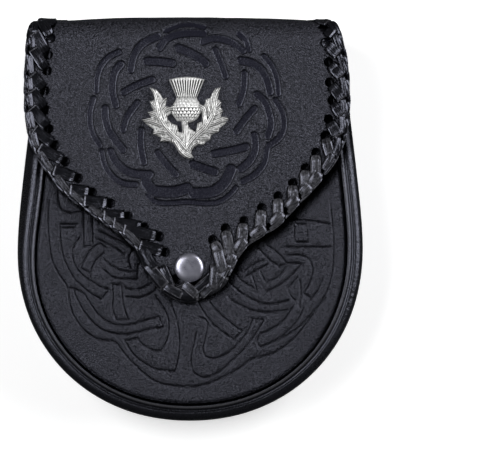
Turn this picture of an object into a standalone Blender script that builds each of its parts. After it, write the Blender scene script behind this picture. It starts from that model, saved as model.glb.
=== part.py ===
"""Day-wear sporran pouch in black leather, lying on its back.

Row frame: metres, +X to the pouch's right as seen from the front, +Y towards the fold at its top, +Z out of
its front. The origin is at the centre of the bounding box's base, so z = 0 is what the pouch lies on.

The dimensions below are in millimetres and MM turns them into metres.
"""

import math

import bmesh
import bpy
from mathutils import Matrix

MM = 0.001
GAP = 0.3  # left between pieces that touch

# ---- body outline, as seen from the front
HALF_WIDTH = 89.0  # at the widest
WIDEST_Y = -14.7
BOTTOM_DEPTH = 88.9  # from the widest line down to the bottom edge
BOTTOM_ROUNDNESS = 2.1  # exponent of the superellipse below the widest line, 2 is an ellipse
SIDE_TAPER = 0.125  # how fast the sides draw in above the widest line
SIDE_TAPER_START = 18.0
BODY_SAMPLES = 90  # along each quarter of the outline before it is divided evenly
BODY_STATIONS = 41

# ---- gusset, one band whose two long edges are rolled over
ROLL_RADIUS = 4.4
FRONT_ROLL_Z = 36.7  # centre of the front roll
REAR_ROLL_Z = 4.4
GUSSET_THICKNESS = 1.6
GUSSET_WAIST = 1.4  # how far the band's middle is drawn in
GUSSET_TOP_Y = 89.0
FRONT_TUCK = 40.0  # degrees that the front roll turns in past its side
REAR_TUCK = 58.0
ROLL_STEPS = 7
WALL_STATIONS = (0.25, 0.5, 0.75)  # shares of the wall's height at which it is bowed in

# ---- panels
FRONT_FACE_Z = 38.8
FRONT_THICKNESS = 2.2
BACK_FACE_Z = 6.6
BACK_THICKNESS = 2.0
BACK_TOP_Y = 95.2
PANEL_CORNER = 9.0
PANEL_CORNER_STEPS = 4
PANEL_CORNER_SPACE = 2.0  # between the corner and the nearest point of the side

# ---- flap, one piece of leather from the back over the fold to the tip
FLAP_THICKNESS = 2.4
FLAP_LEVEL = 44.1  # height of the middle of the leather where it lies over the rolls
FOLD_RADIUS = 12.0
REAR_FOLD_RADIUS = 6.0
FOLD_Y = 100.9
SAG_START_Y = 28.0
SAG_LENGTH = 53.0
FLAP_SAG = 0.8  # how far the flap is down at the snap
TAIL_Z = BACK_FACE_Z - GAP - FLAP_THICKNESS / 2
TAIL_LENGTH = 16.0
EDGE_STEP = 6.5
SAG_LINE_COUNT = 5
SAG_LINE_STEP = 14.0  # between the lines that the sagging front bends along
FOLD_STEPS = 6
REAR_FOLD_STEPS = 4
STRAIGHT_ANGLE = 0.01  # radians, below which the flat pattern's edges count as straight
BISECT_REACH = 2e-6  # metres
WELD_REACH = 1e-6  # metres

FOLD_START = FOLD_Y - FOLD_RADIUS
WALL_START = FOLD_START + FOLD_RADIUS * math.pi / 2
WALL_TOP_Z = FLAP_LEVEL - FOLD_RADIUS
WALL_END_Z = TAIL_Z + REAR_FOLD_RADIUS
WALL_END = WALL_START + WALL_TOP_Z - WALL_END_Z
TAIL_START = WALL_END + REAR_FOLD_RADIUS * math.pi / 2
TAIL_END = TAIL_START + TAIL_LENGTH

# Outer line of the laced edge, clockwise from the tail's left end round the tip to its right end.
# x is across the pouch, s is along the leather and equals y on the front.
LACED_EDGE = (
    # x, s
    (-65.0, TAIL_END),
    (-65.0, TAIL_START),
    (-67.0, 127.0),
    (-72.0, 117.0),
    (-78.5, 107.0),
    (-82.6, 99.5),
    (-84.2, 82.0),
    (-84.7, 64.6),
    (-83.9, 50.3),
    (-79.5, 34.0),
    (-65.6, 14.7),
    (-53.2, 4.6),
    (-43.5, -2.6),
    (-33.6, -9.4),
    (-26.4, -17.5),
    (-20.7, -28.1),
    (-15.0, -35.7),
    (-7.5, -40.5),
    (0.5, -42.0),
    (8.5, -39.8),
    (15.8, -35.0),
    (21.8, -26.6),
    (25.8, -19.0),
    (31.5, -12.6),
    (45.3, -3.9),
    (55.0, 6.2),
    (63.2, 14.6),
    (72.4, 25.6),
    (77.4, 34.0),
    (80.6, 43.5),
    (82.2, 54.9),
    (82.2, 66.1),
    (80.9, 82.0),
    (76.5, 99.5),
    (73.0, 107.0),
    (69.5, 117.0),
    (66.5, 127.0),
    (65.0, TAIL_START),
    (65.0, TAIL_END),
)

# ---- lace along the flap's edge, drawn as the plain outer form of the laced binding
LACE_THICKNESS = 1.0
LACE_RADIUS = 2.2  # middle of the lace where it turns round the flap's edge
LACE_TURN_CENTRE = 0.5  # inside the flap's edge
LACE_TURN_STEPS = 4
LACE_LEG = 7.0  # reach of the binding over the flap, front and back
LACE_REACH = LACE_RADIUS - LACE_TURN_CENTRE + LACE_THICKNESS / 2
LACE_END = WALL_END  # the lacing stops before the tail, which is sewn flat

# ---- punched holes that the lace goes through
HOLE_RADIUS = 2.3
HOLE_SIDES = 8
PUNCH_LENGTH = 6.0
LACE_HOLES = (
    # x, s: from the left end of the lacing behind the fold, round the tip to its right end
    (-59.3, 119.0),
    (-65.0, 109.5),
    (-71.1, 100.2),
    (-70.9, 92.5),
    (-72.3, 84.1),
    (-72.8, 75.9),
    (-73.9, 65.7),
    (-73.6, 55.9),
    (-71.9, 46.3),
    (-68.9, 37.9),
    (-63.5, 29.4),
    (-57.0, 20.9),
    (-49.7, 13.7),
    (-40.4, 8.1),
    (-31.5, 1.4),
    (-23.1, -4.2),
    (-15.4, -8.9),
    (-12.4, -16.9),
    (-13.1, -25.9),
    (-6.5, -30.6),
    (3.6, -32.4),
    (11.0, -25.6),
    (12.5, -16.0),
    (12.0, -10.6),
    (18.4, -4.7),
    (27.9, -1.0),
    (37.0, 5.8),
    (45.3, 11.7),
    (52.9, 18.5),
    (59.3, 26.2),
    (64.7, 34.0),
    (69.3, 42.7),
    (71.1, 51.1),
    (73.0, 60.8),
    (71.7, 69.9),
    (71.1, 80.3),
    (69.4, 90.1),
    (68.5, 98.3),
    (62.5, 107.5),
    (58.9, 117.0),
)

# ---- snap fastener
SNAP_Y = -24.8
CAP_RADIUS = 7.5
CAP_HEIGHT = 2.6
CAP_RIM_HEIGHT = 0.5  # where the dome starts
CAP_EDGE = 0.4  # bevel below the rim
CAP_ANGLES = (22, 44, 64, 82)  # degrees from the top at which the dome's profile has its points
POST_RADIUS = 2.1
POST_HOLE_RADIUS = POST_RADIUS + GAP
SOCKET_RADIUS = 5.2
SOCKET_HEIGHT = 1.6
SOCKET_BORE_RADIUS = 2.7
SOCKET_LID = 0.5
SOCKET_BEVEL = 0.4
STUD_RADIUS = 4.2
STUD_KNOB_RADIUS = 2.3
STUD_KNOB_HEIGHT = 1.1
STUD_KNOB_BEVEL = 0.4
STUD_NECK_INSET = 0.3
STUD_FLANGE_SLOPE = 0.1
STUD_FLANGE = 0.5
STUD_REAR_FLANGE = 0.7
STUD_POST_RADIUS = 1.7
TURNED_STEPS = 20
TURNED_WELD = 1e-5  # metres

# ---- thistle badge
BADGE_X = -1.3
BADGE_Y = 51.8
BADGE_THICKNESS = 2.0  # of the leaves
BULB_RADIUS = 7.6
BULB_Y = 3.6
BULB_HEIGHT = 4.0
FAN_TOP_HALF = 9.0
FAN_NECK_HALF = 5.2
FAN_TOP_Y = 19.4
FAN_SHOULDER_Y = 20.4
FAN_NECK_Y = 9.0
FAN_THICKNESS = 2.8
BULB_SIDES = 16
BULB_RINGS = 8
BULB_CUT = 0.02  # above the sphere's middle, where its lower half is cut off
LEFT_LEAF_INSET = 0.01  # the left leaf's two faces lie this much inside the right one's
FOOT_EXTRA = 0.3  # how much thicker than the leaves the stem's foot is
STEM_EXTRA = 0.6
BADGE_POST_RADIUS = 1.8
BADGE_POST_LENGTH = 4.4
BADGE_POST_SIDES = 12
BADGE_POST_OVERLAP = 1.0  # how much longer the post is, so that it reaches into the badge
NUT_RADIUS = 5.5
NUT_THICKNESS = 1.3
LEAF = (
    # x outwards, y: right leaf, from the stem round its toothed outer side to the tip and back down inside
    (0.0, -13.5),
    (8.6, -14.0),
    (9.6, -12.4),
    (12.2, -11.2),
    (12.4, -8.8),
    (16.6, -6.8),
    (16.6, -5.0),
    (21.2, -0.7),
    (17.0, 0.8),
    (18.2, 3.4),
    (16.0, 4.6),
    (17.6, 8.0),
    (15.9, 9.4),
    (17.3, 15.8),
    (14.0, 13.6),
    (11.9, 10.3),
    (9.4, 9.6),
    (7.6, 5.0),
    (8.2, -1.5),
    (4.6, -5.0),
    (2.6, -6.6),
)
TAIL = (
    # x, y: the stem's foot, which curls to one side
    (-7.0, -12.6),
    (-4.6, -16.4),
    (-1.2, -20.2),
    (3.2, -20.9),
    (2.5, -18.4),
    (3.2, -15.6),
    (6.0, -13.4),
    (0.0, -10.0),
)
STEM_HALF = 2.0
STEM_TOP_Y = -1.0
STEM_FOOT_Y = -13.0

# ---- belt loops on the back
LOOP_WIDTH = 22.0
LOOP_THICKNESS = 1.7
LOOP_X = 41.0
LOOP_TOP_Y = 68.0
LOOP_FOOT = 10.0  # the end that is sewn to the back panel
LOOP_BEND = 8.0
LOOP_SPAN = 32.0  # the flat stretch that a strap passes under


def clear_scene():
    for obj in list(bpy.data.objects):
        bpy.data.objects.remove(obj, do_unlink=True)


def make_collection(name):
    group = bpy.data.collections.new(name)
    bpy.context.scene.collection.children.link(group)
    return group


def make_material(name, color, roughness, metallic):
    finish = bpy.data.materials.new(name)
    finish.use_nodes = True
    shader = finish.node_tree.nodes["Principled BSDF"]
    shader.inputs["Base Color"].default_value = (*color, 1.0)
    shader.inputs["Roughness"].default_value = roughness
    shader.inputs["Metallic"].default_value = metallic
    return finish


def place(obj, group, finish=None, location=(0.0, 0.0, 0.0)):
    """Links an object to a collection, gives it its material and puts it at a place given in millimetres."""
    for other in list(obj.users_collection):
        other.objects.unlink(obj)
    group.objects.link(obj)
    if finish:
        obj.data.materials.clear()
        obj.data.materials.append(finish)
    obj.location = [value * MM for value in location]
    return obj


def make_cutter(obj, group):
    obj.hide_render = True
    obj.display_type = "WIRE"
    return place(obj, group)


def cut(obj, cutter, operation="DIFFERENCE"):
    step = obj.modifiers.new(operation.title(), "BOOLEAN")
    step.operation = operation
    step.object = cutter
    return step


# ---- lines in a plane


def smooth_line(points, step):
    """A Catmull-Rom curve through the points, as dense short steps of about this length."""
    line = []
    padded = [points[0], *points, points[-1]]
    for before, start, end, after in zip(padded, padded[1:], padded[2:], padded[3:]):
        count = max(1, round(math.dist(start, end) / step))
        for i in range(count):
            t = i / count
            line.append(
                tuple(
                    0.5
                    * (
                        2 * p1
                        + (p2 - p0) * t
                        + (2 * p0 - 5 * p1 + 4 * p2 - p3) * t**2
                        + (3 * p1 - p0 - 3 * p2 + p3) * t**3
                    )
                    for p0, p1, p2, p3 in zip(before, start, end, after)
                )
            )
    return [*line, points[-1]]


def resample(line, count):
    """The same line as this many points, evenly spaced."""
    lengths = [0.0]
    for a, b in zip(line, line[1:]):
        lengths.append(lengths[-1] + math.dist(a, b))
    even = []
    span = 0
    for i in range(count):
        target = lengths[-1] * i / (count - 1)
        while span < len(line) - 2 and lengths[span + 1] < target:
            span += 1
        t = (target - lengths[span]) / (lengths[span + 1] - lengths[span])
        even.append(tuple(a + (b - a) * t for a, b in zip(line[span], line[span + 1])))
    return even


def left_normals(line):
    """The unit normal on the left of the line's direction, at each point."""
    normals = []
    for i in range(len(line)):
        a, b = line[max(i - 1, 0)], line[min(i + 1, len(line) - 1)]
        length = math.dist(a, b)
        normals.append(((a[1] - b[1]) / length, (b[0] - a[0]) / length))
    return normals


def shifted(line, distance):
    """The line moved to its left by a distance."""
    return [(x + nx * distance, y + ny * distance) for (x, y), (nx, ny) in zip(line, left_normals(line))]


def side_half_width(y):
    """Half the body's width above its widest line."""
    return HALF_WIDTH - SIDE_TAPER * (math.hypot(y - WIDEST_Y, SIDE_TAPER_START) - SIDE_TAPER_START)


def body_outline():
    """The body's outer line, from the top of its left side round the bottom to the top of its right side."""
    right = []
    for i in range(BODY_SAMPLES + 1):
        angle = math.pi / 2 * i / BODY_SAMPLES
        power = 2 / BOTTOM_ROUNDNESS
        right.append(
            (
                HALF_WIDTH * math.sin(angle) ** power,
                WIDEST_Y - BOTTOM_DEPTH * math.cos(angle) ** power,
            )
        )
    for i in range(1, BODY_SAMPLES + 1):
        y = WIDEST_Y + (GUSSET_TOP_Y - WIDEST_Y) * i / BODY_SAMPLES
        right.append((side_half_width(y), y))
    return [(-x, y) for x, y in reversed(right)] + right[1:]


# ---- meshes


def mesh_object(name, bm):
    bmesh.ops.recalc_face_normals(bm, faces=bm.faces)
    mesh = bpy.data.meshes.new(name)
    bm.to_mesh(mesh)
    bm.free()
    return bpy.data.objects.new(name, mesh)


def sheet_through(name, rows, thickness):
    """A sheet of this thickness whose middle passes through rows of points, given in millimetres."""
    bm = bmesh.new()
    grid = [[bm.verts.new([value * MM for value in point]) for point in row] for row in rows]
    for near, far in zip(grid, grid[1:]):
        for a, b, c, d in zip(near, near[1:], far[1:], far):
            bm.faces.new((a, b, c, d))
    obj = mesh_object(name, bm)
    thicken(obj, thickness)
    return obj


def thicken(obj, thickness):
    step = obj.modifiers.new("Thickness", "SOLIDIFY")
    step.thickness = thickness * MM
    step.offset = 0.0
    step.use_even_offset = True


def flat_outline(name, outlines, thickness):
    """A plate whose outline, and any holes in it, are closed lines of points."""
    curve = bpy.data.curves.new(name, "CURVE")
    curve.dimensions = "2D"
    curve.fill_mode = "BOTH"
    curve.extrude = thickness / 2 * MM
    for outline in outlines:
        spline = curve.splines.new("POLY")
        spline.points.add(len(outline) - 1)
        for point, (x, y) in zip(spline.points, outline):
            point.co = (x * MM, y * MM, 0.0, 1.0)
        spline.use_cyclic_u = True
    return bpy.data.objects.new(name, curve)


def as_mesh(obj):
    """A curve's evaluated mesh with its caps welded, in a new object."""
    bpy.context.scene.collection.objects.link(obj)
    bpy.context.view_layer.update()
    mesh = bpy.data.meshes.new_from_object(obj.evaluated_get(bpy.context.evaluated_depsgraph_get()))
    bm = bmesh.new()
    bm.from_mesh(mesh)
    bmesh.ops.remove_doubles(bm, verts=bm.verts, dist=WELD_REACH)
    bm.to_mesh(mesh)
    bm.free()
    name = obj.name
    bpy.data.objects.remove(obj, do_unlink=True)
    return bpy.data.objects.new(name, mesh)


def turned(name, profile):
    """A turned piece from its profile of radius and height, which runs from the top down its outer side."""
    bm = bmesh.new()
    verts = [bm.verts.new((radius * MM, 0.0, height * MM)) for radius, height in profile]
    for a, b in zip(verts, verts[1:]):
        bm.edges.new((a, b))
    mesh = bpy.data.meshes.new(name)
    bm.to_mesh(mesh)
    bm.free()
    obj = bpy.data.objects.new(name, mesh)
    step = obj.modifiers.new("Turn", "SCREW")
    step.steps = TURNED_STEPS
    step.render_steps = TURNED_STEPS
    step.use_merge_vertices = True
    step.merge_threshold = TURNED_WELD
    return obj


def circle(x, y, radius, sides):
    turn = 2 * math.pi / sides
    return [(x + radius * math.cos(turn * i), y + radius * math.sin(turn * i)) for i in range(sides)]


# ---- the flap's leather, bent from its flat pattern


def flap_height(y):
    """Height of the middle of the leather on the front."""
    drop = max(0.0, SAG_START_Y - y) / SAG_LENGTH
    return FLAP_LEVEL - FLAP_SAG * drop**2


def flap_frame(s):
    """The middle of the leather at this distance along it, and its outward normal, both as (y, z)."""
    if s <= FOLD_START:
        slope = 2 * FLAP_SAG * max(0.0, SAG_START_Y - s) / SAG_LENGTH**2
        return (s, flap_height(s)), (-slope, 1.0)
    if s <= WALL_START:
        angle = (s - FOLD_START) / FOLD_RADIUS
        out = (math.sin(angle), math.cos(angle))
        return (FOLD_START + FOLD_RADIUS * out[0], WALL_TOP_Z + FOLD_RADIUS * out[1]), out
    if s <= WALL_END:
        return (FOLD_Y, WALL_TOP_Z - (s - WALL_START)), (1.0, 0.0)
    rear_y = FOLD_Y - REAR_FOLD_RADIUS
    if s <= TAIL_START:
        angle = (s - WALL_END) / REAR_FOLD_RADIUS
        out = (math.cos(angle), -math.sin(angle))
        return (rear_y + REAR_FOLD_RADIUS * out[0], WALL_END_Z + REAR_FOLD_RADIUS * out[1]), out
    return (rear_y - (s - TAIL_START), TAIL_Z), (0.0, -1.0)


def flap_point(x, s, height=0.0):
    """The place of a point of the flat pattern, this far out from the middle of the leather."""
    middle, out = flap_frame(s)
    return (x, middle[0] + out[0] * height, middle[1] + out[1] * height)


def flap_bend_lines():
    """Where the flat pattern is divided so that it can bend."""
    lines = [SAG_START_Y - SAG_LINE_STEP * i for i in range(SAG_LINE_COUNT)]
    lines.append(FOLD_START)
    lines += [FOLD_START + (WALL_START - FOLD_START) * i / FOLD_STEPS for i in range(1, FOLD_STEPS + 1)]
    lines += [WALL_END + (TAIL_START - WALL_END) * i / REAR_FOLD_STEPS for i in range(REAR_FOLD_STEPS + 1)]
    return lines


def flap_stations():
    """Points along the edge of the flap's leather, each with the normal that points into the leather.

    There is one every EDGE_STEP and one wherever the edge meets a line that the leather bends along.
    """
    edge = shifted(smooth_line(LACED_EDGE, 1.0), LACE_REACH)
    fine = list(zip(edge, left_normals(edge)))
    stations = [fine[0]]
    travelled = 0.0
    for (a, _), (b, normal) in zip(fine, fine[1:]):
        travelled += math.dist(a, b)
        low, high = sorted((a[1], b[1]))
        met = [line for line in flap_bend_lines() if low < line <= high]
        if met:
            share = (met[0] - a[1]) / (b[1] - a[1])
            stations.append(((a[0] + (b[0] - a[0]) * share, met[0]), normal))
        elif travelled >= EDGE_STEP or b == edge[-1]:
            stations.append((b, normal))
        else:
            continue
        travelled = 0.0
    return stations


def build_flap(group, cutters, finish):
    outline = [point for point, _ in flap_stations()]
    flap = as_mesh(flat_outline("flap", [outline], 0.0))
    bm = bmesh.new()
    bm.from_mesh(flap.data)
    bmesh.ops.dissolve_limit(bm, angle_limit=STRAIGHT_ANGLE, verts=bm.verts, edges=bm.edges)
    for line in flap_bend_lines():
        bmesh.ops.bisect_plane(
            bm,
            geom=[*bm.verts, *bm.edges, *bm.faces],
            dist=BISECT_REACH,
            plane_co=(0.0, line * MM, 0.0),
            plane_no=(0.0, 1.0, 0.0),
        )
    for vert in bm.verts:
        point = flap_point(vert.co.x / MM, vert.co.y / MM)
        vert.co = [value * MM for value in point]
    bmesh.ops.recalc_face_normals(bm, faces=bm.faces)
    bm.to_mesh(flap.data)
    bm.free()
    thicken(flap, FLAP_THICKNESS)

    punches = bmesh.new()
    holes = [(x, distance, HOLE_RADIUS) for x, distance in LACE_HOLES]
    holes += [(0.0, SNAP_Y, POST_HOLE_RADIUS), (BADGE_X, BADGE_Y, BADGE_POST_RADIUS + GAP)]
    for x, distance, radius in holes:
        (y, z), out = flap_frame(distance)
        turn = Matrix.Rotation(-math.atan2(*out), 4, "X")
        bmesh.ops.create_cone(
            punches,
            cap_ends=True,
            segments=HOLE_SIDES,
            radius1=radius * MM,
            radius2=radius * MM,
            depth=PUNCH_LENGTH * MM,
            matrix=Matrix.Translation([value * MM for value in (x, y, z)]) @ turn,
        )
    cutter = make_cutter(mesh_object("flap_punches", punches), cutters)
    cut(flap, cutter)
    return place(flap, group, finish)


def build_lace(group, finish):
    """The binding: it lies on the flap's front, turns round its edge and lies on its back."""
    section = [(LACE_LEG, LACE_RADIUS), (LACE_LEG / 2, LACE_RADIUS)]
    for i in range(LACE_TURN_STEPS + 1):
        angle = math.pi / 2 + math.pi * i / LACE_TURN_STEPS
        section.append((LACE_TURN_CENTRE + LACE_RADIUS * math.cos(angle), LACE_RADIUS * math.sin(angle)))
    section += [(LACE_LEG / 2, -LACE_RADIUS), (LACE_LEG, -LACE_RADIUS)]
    stations = [station for station in flap_stations() if station[0][1] <= LACE_END]
    rows = []
    for inset, height in section:
        rows.append([flap_point(x + nx * inset, y + ny * inset, height) for (x, y), (nx, ny) in stations])
    return place(sheet_through("edge_lace", rows, LACE_THICKNESS), group, finish)


# ---- body


def build_gusset(group, finish):
    """The band's section, from the tucked edge of the front roll over the roll and down to the rear one."""
    middle = ROLL_RADIUS - GUSSET_THICKNESS / 2
    section = []
    for i in range(ROLL_STEPS + 1):
        angle = math.radians(-FRONT_TUCK + (180 + FRONT_TUCK) * i / ROLL_STEPS)
        section.append((ROLL_RADIUS + middle * math.cos(angle), FRONT_ROLL_Z + middle * math.sin(angle)))
    wall = FRONT_ROLL_Z - REAR_ROLL_Z
    for share in WALL_STATIONS:
        bow = GUSSET_WAIST * math.sin(math.pi * share)
        section.append((GUSSET_THICKNESS / 2 + bow, FRONT_ROLL_Z - wall * share))
    for i in range(ROLL_STEPS + 1):
        angle = math.radians(180 + (180 + REAR_TUCK) * i / ROLL_STEPS)
        section.append((ROLL_RADIUS + middle * math.cos(angle), REAR_ROLL_Z + middle * math.sin(angle)))
    outline = body_outline()
    rows = []
    for inset, height in section:
        line = resample(shifted(outline, inset), BODY_STATIONS)
        rows.append([(x, y, height) for x, y in line])
    return place(sheet_through("gusset", rows, GUSSET_THICKNESS), group, finish)


def panel_outline(inset, top):
    """The body's outline moved in, closed by a straight top edge with rounded corners."""
    line = resample(shifted(body_outline(), inset), BODY_STATIONS)
    corner_y = top - PANEL_CORNER
    corner_x = side_half_width(corner_y) - inset - GAP - PANEL_CORNER
    line = [point for point in line if point[1] < corner_y - PANEL_CORNER_SPACE]
    for side in (1, -1):
        for i in range(PANEL_CORNER_STEPS + 1):
            step = i if side > 0 else PANEL_CORNER_STEPS - i
            angle = math.pi / 2 * step / PANEL_CORNER_STEPS
            reach = PANEL_CORNER * math.cos(angle), PANEL_CORNER * math.sin(angle)
            line.append((side * (corner_x + reach[0]), corner_y + reach[1]))
    return line


def build_front_panel(group, finish):
    outline = panel_outline(2 * ROLL_RADIUS + GAP, GUSSET_TOP_Y)
    hole = circle(0.0, SNAP_Y, STUD_POST_RADIUS + GAP, HOLE_SIDES)
    panel = flat_outline("front_panel", [outline, hole], FRONT_THICKNESS)
    place(panel, group, finish, (0.0, 0.0, FRONT_FACE_Z - FRONT_THICKNESS / 2))
    return panel


def build_back_panel(group, finish):
    outline = panel_outline(2 * ROLL_RADIUS - GAP, BACK_TOP_Y)
    panel = flat_outline("back_panel", [outline], BACK_THICKNESS)
    place(panel, group, finish, (0.0, 0.0, BACK_FACE_Z + BACK_THICKNESS / 2))
    return panel


def build_belt_loop(name, x, group, finish):
    """A strip sewn to the back panel at both ends, standing off it between them for a strap to pass."""
    half = LOOP_THICKNESS / 2
    sewn, free = BACK_FACE_Z - GAP - half, half
    profile = [(LOOP_TOP_Y, sewn), (LOOP_TOP_Y - LOOP_FOOT, sewn)]
    profile.append((profile[-1][0] - LOOP_BEND, free))
    profile.append((profile[-1][0] - LOOP_SPAN, free))
    profile.append((profile[-1][0] - LOOP_BEND, sewn))
    profile.append((profile[-1][0] - LOOP_FOOT, sewn))
    rows = [[(side * LOOP_WIDTH / 2, y, z) for y, z in profile] for side in (-1, 1)]
    return place(sheet_through(name, rows, LOOP_THICKNESS), group, finish, (x, 0.0, 0.0))


# ---- metal


def build_snap(group, finish):
    top = flap_height(SNAP_Y) + FLAP_THICKNESS / 2 + GAP
    socket_top = top - FLAP_THICKNESS - 2 * GAP
    cap = [(0.0, CAP_HEIGHT)]
    for angle in CAP_ANGLES:
        across, up = math.sin(math.radians(angle)), math.cos(math.radians(angle))
        cap.append((CAP_RADIUS * across, CAP_RIM_HEIGHT + (CAP_HEIGHT - CAP_RIM_HEIGHT) * up))
    post_end = socket_top + GAP - top
    cap += [(CAP_RADIUS, CAP_EDGE), (CAP_RADIUS - CAP_EDGE, 0.0)]
    cap += [(POST_RADIUS, 0.0), (POST_RADIUS, post_end), (0.0, post_end)]
    place(turned("snap_cap", cap), group, finish, (0.0, SNAP_Y, top))

    socket = [
        (0.0, 0.0),
        (SOCKET_RADIUS - SOCKET_BEVEL, 0.0),
        (SOCKET_RADIUS, -SOCKET_BEVEL),
        (SOCKET_RADIUS, -SOCKET_HEIGHT),
        (SOCKET_BORE_RADIUS, -SOCKET_HEIGHT),
        (SOCKET_BORE_RADIUS, -SOCKET_LID),
        (0.0, -SOCKET_LID),
    ]
    place(turned("snap_socket", socket), group, finish, (0.0, SNAP_Y, socket_top))

    base = FRONT_FACE_Z + GAP
    rear = -GAP - FRONT_THICKNESS - GAP
    stud = [
        (0.0, STUD_FLANGE + STUD_KNOB_HEIGHT),
        (STUD_KNOB_RADIUS - STUD_KNOB_BEVEL, STUD_FLANGE + STUD_KNOB_HEIGHT),
        (STUD_KNOB_RADIUS, STUD_FLANGE + STUD_KNOB_HEIGHT - STUD_KNOB_BEVEL),
        (STUD_KNOB_RADIUS - STUD_NECK_INSET, STUD_FLANGE),
        (STUD_RADIUS, STUD_FLANGE - STUD_FLANGE_SLOPE),
        (STUD_RADIUS, 0.0),
        (STUD_POST_RADIUS, 0.0),
        (STUD_POST_RADIUS, rear),
        (STUD_RADIUS, rear),
        (STUD_RADIUS, rear - STUD_REAR_FLANGE),
        (0.0, rear - STUD_REAR_FLANGE),
    ]
    place(turned("snap_stud", stud), group, finish, (0.0, SNAP_Y, base))


def build_badge(group, cutters, finish):
    """Cast thistle: two leaves, a curled stem, a bulb and the fan of its flower, with a post behind."""
    base = FLAP_LEVEL + FLAP_THICKNESS / 2 + GAP
    middle = base + BADGE_THICKNESS / 2
    badge = as_mesh(flat_outline("thistle_badge", [LEAF], BADGE_THICKNESS))

    def add(piece, height):
        make_cutter(piece, cutters)
        piece.location = (BADGE_X * MM, BADGE_Y * MM, height * MM)
        cut(badge, piece, "UNION")

    mirrored = [(-x, y) for x, y in reversed(LEAF)]
    inner = BADGE_THICKNESS - 2 * LEFT_LEAF_INSET
    add(as_mesh(flat_outline("badge_left_leaf", [mirrored], inner)), middle - LEFT_LEAF_INSET)
    add(as_mesh(flat_outline("badge_foot", [TAIL], BADGE_THICKNESS + FOOT_EXTRA)), middle + FOOT_EXTRA / 2)
    stem = [
        (-STEM_HALF, STEM_FOOT_Y),
        (STEM_HALF, STEM_FOOT_Y),
        (STEM_HALF, STEM_TOP_Y),
        (-STEM_HALF, STEM_TOP_Y),
    ]
    add(as_mesh(flat_outline("badge_stem", [stem], BADGE_THICKNESS + STEM_EXTRA)), middle + STEM_EXTRA / 2)
    fan = [(-FAN_NECK_HALF, FAN_NECK_Y), (FAN_NECK_HALF, FAN_NECK_Y)]
    fan += [(FAN_TOP_HALF, FAN_TOP_Y), (FAN_TOP_HALF / 2, FAN_SHOULDER_Y)]
    fan += [(-FAN_TOP_HALF / 2, FAN_SHOULDER_Y), (-FAN_TOP_HALF, FAN_TOP_Y)]
    add(as_mesh(flat_outline("badge_fan", [fan], FAN_THICKNESS)), base + FAN_THICKNESS / 2)

    bulb = bmesh.new()
    bmesh.ops.create_uvsphere(bulb, u_segments=BULB_SIDES, v_segments=BULB_RINGS, radius=BULB_RADIUS * MM)
    bmesh.ops.bisect_plane(
        bulb,
        geom=[*bulb.verts, *bulb.edges, *bulb.faces],
        plane_co=(0.0, 0.0, BULB_CUT * MM),
        plane_no=(0.0, 0.0, -1.0),
        clear_outer=True,
    )
    rim = [edge for edge in bulb.edges if edge.is_boundary]
    bmesh.ops.holes_fill(bulb, edges=rim)
    bmesh.ops.scale(bulb, verts=bulb.verts, vec=(1.0, 1.0, BULB_HEIGHT / BULB_RADIUS))
    bmesh.ops.translate(bulb, verts=bulb.verts, vec=(0.0, BULB_Y * MM, 0.0))
    add(mesh_object("badge_bulb", bulb), base)

    post = bmesh.new()
    bmesh.ops.create_cone(
        post,
        cap_ends=True,
        segments=BADGE_POST_SIDES,
        radius1=BADGE_POST_RADIUS * MM,
        radius2=BADGE_POST_RADIUS * MM,
        depth=(BADGE_POST_LENGTH + BADGE_POST_OVERLAP) * MM,
    )
    add(mesh_object("badge_post", post), base + (BADGE_POST_OVERLAP - BADGE_POST_LENGTH) / 2)
    place(badge, group, finish, (BADGE_X, BADGE_Y, middle))

    nut_top = base - FLAP_THICKNESS - 2 * GAP
    bore = BADGE_POST_RADIUS + GAP
    ring = [(bore, 0.0), (NUT_RADIUS, 0.0), (NUT_RADIUS, -NUT_THICKNESS), (bore, -NUT_THICKNESS), (bore, 0.0)]
    place(turned("badge_nut", ring), group, finish, (BADGE_X, BADGE_Y, nut_top))


def main():
    clear_scene()
    group = make_collection("sporran_pouch")
    cutters = make_collection("cutters")
    leather = make_material("black leather", (0.012, 0.013, 0.016), 0.5, 0.0)
    lace = make_material("black lace", (0.008, 0.008, 0.009), 0.3, 0.0)
    silver = make_material("cast silver", (0.72, 0.73, 0.74), 0.25, 1.0)
    gunmetal = make_material("gunmetal", (0.24, 0.24, 0.26), 0.35, 1.0)

    build_back_panel(group, leather)
    build_front_panel(group, leather)
    build_gusset(group, leather)
    build_flap(group, cutters, leather)
    build_lace(group, lace)
    for name, side in (("belt_loop_left", -1), ("belt_loop_right", 1)):
        build_belt_loop(name, side * LOOP_X, group, leather)
    build_badge(group, cutters, silver)
    build_snap(group, gunmetal)


main()
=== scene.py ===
"""Looks of the black leather sporran pouch that lies on its back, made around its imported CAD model.

Lengths are millimetres in the pouch's own frame, and MM turns them into metres. +X is to the pouch's right
as seen from the front, +Y towards the fold at its top, +Z out of its front. A place on the flap is given by x
and s, where s is the distance along the leather and equals y on the front. Lines whose name ends in PX were
read off the photograph in its pixels, and from_photo() turns them into millimetres.
"""

import math
import random

import bmesh
import bpy
import numpy as np
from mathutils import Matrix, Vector
from mathutils.geometry import delaunay_2d_cdt


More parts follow.
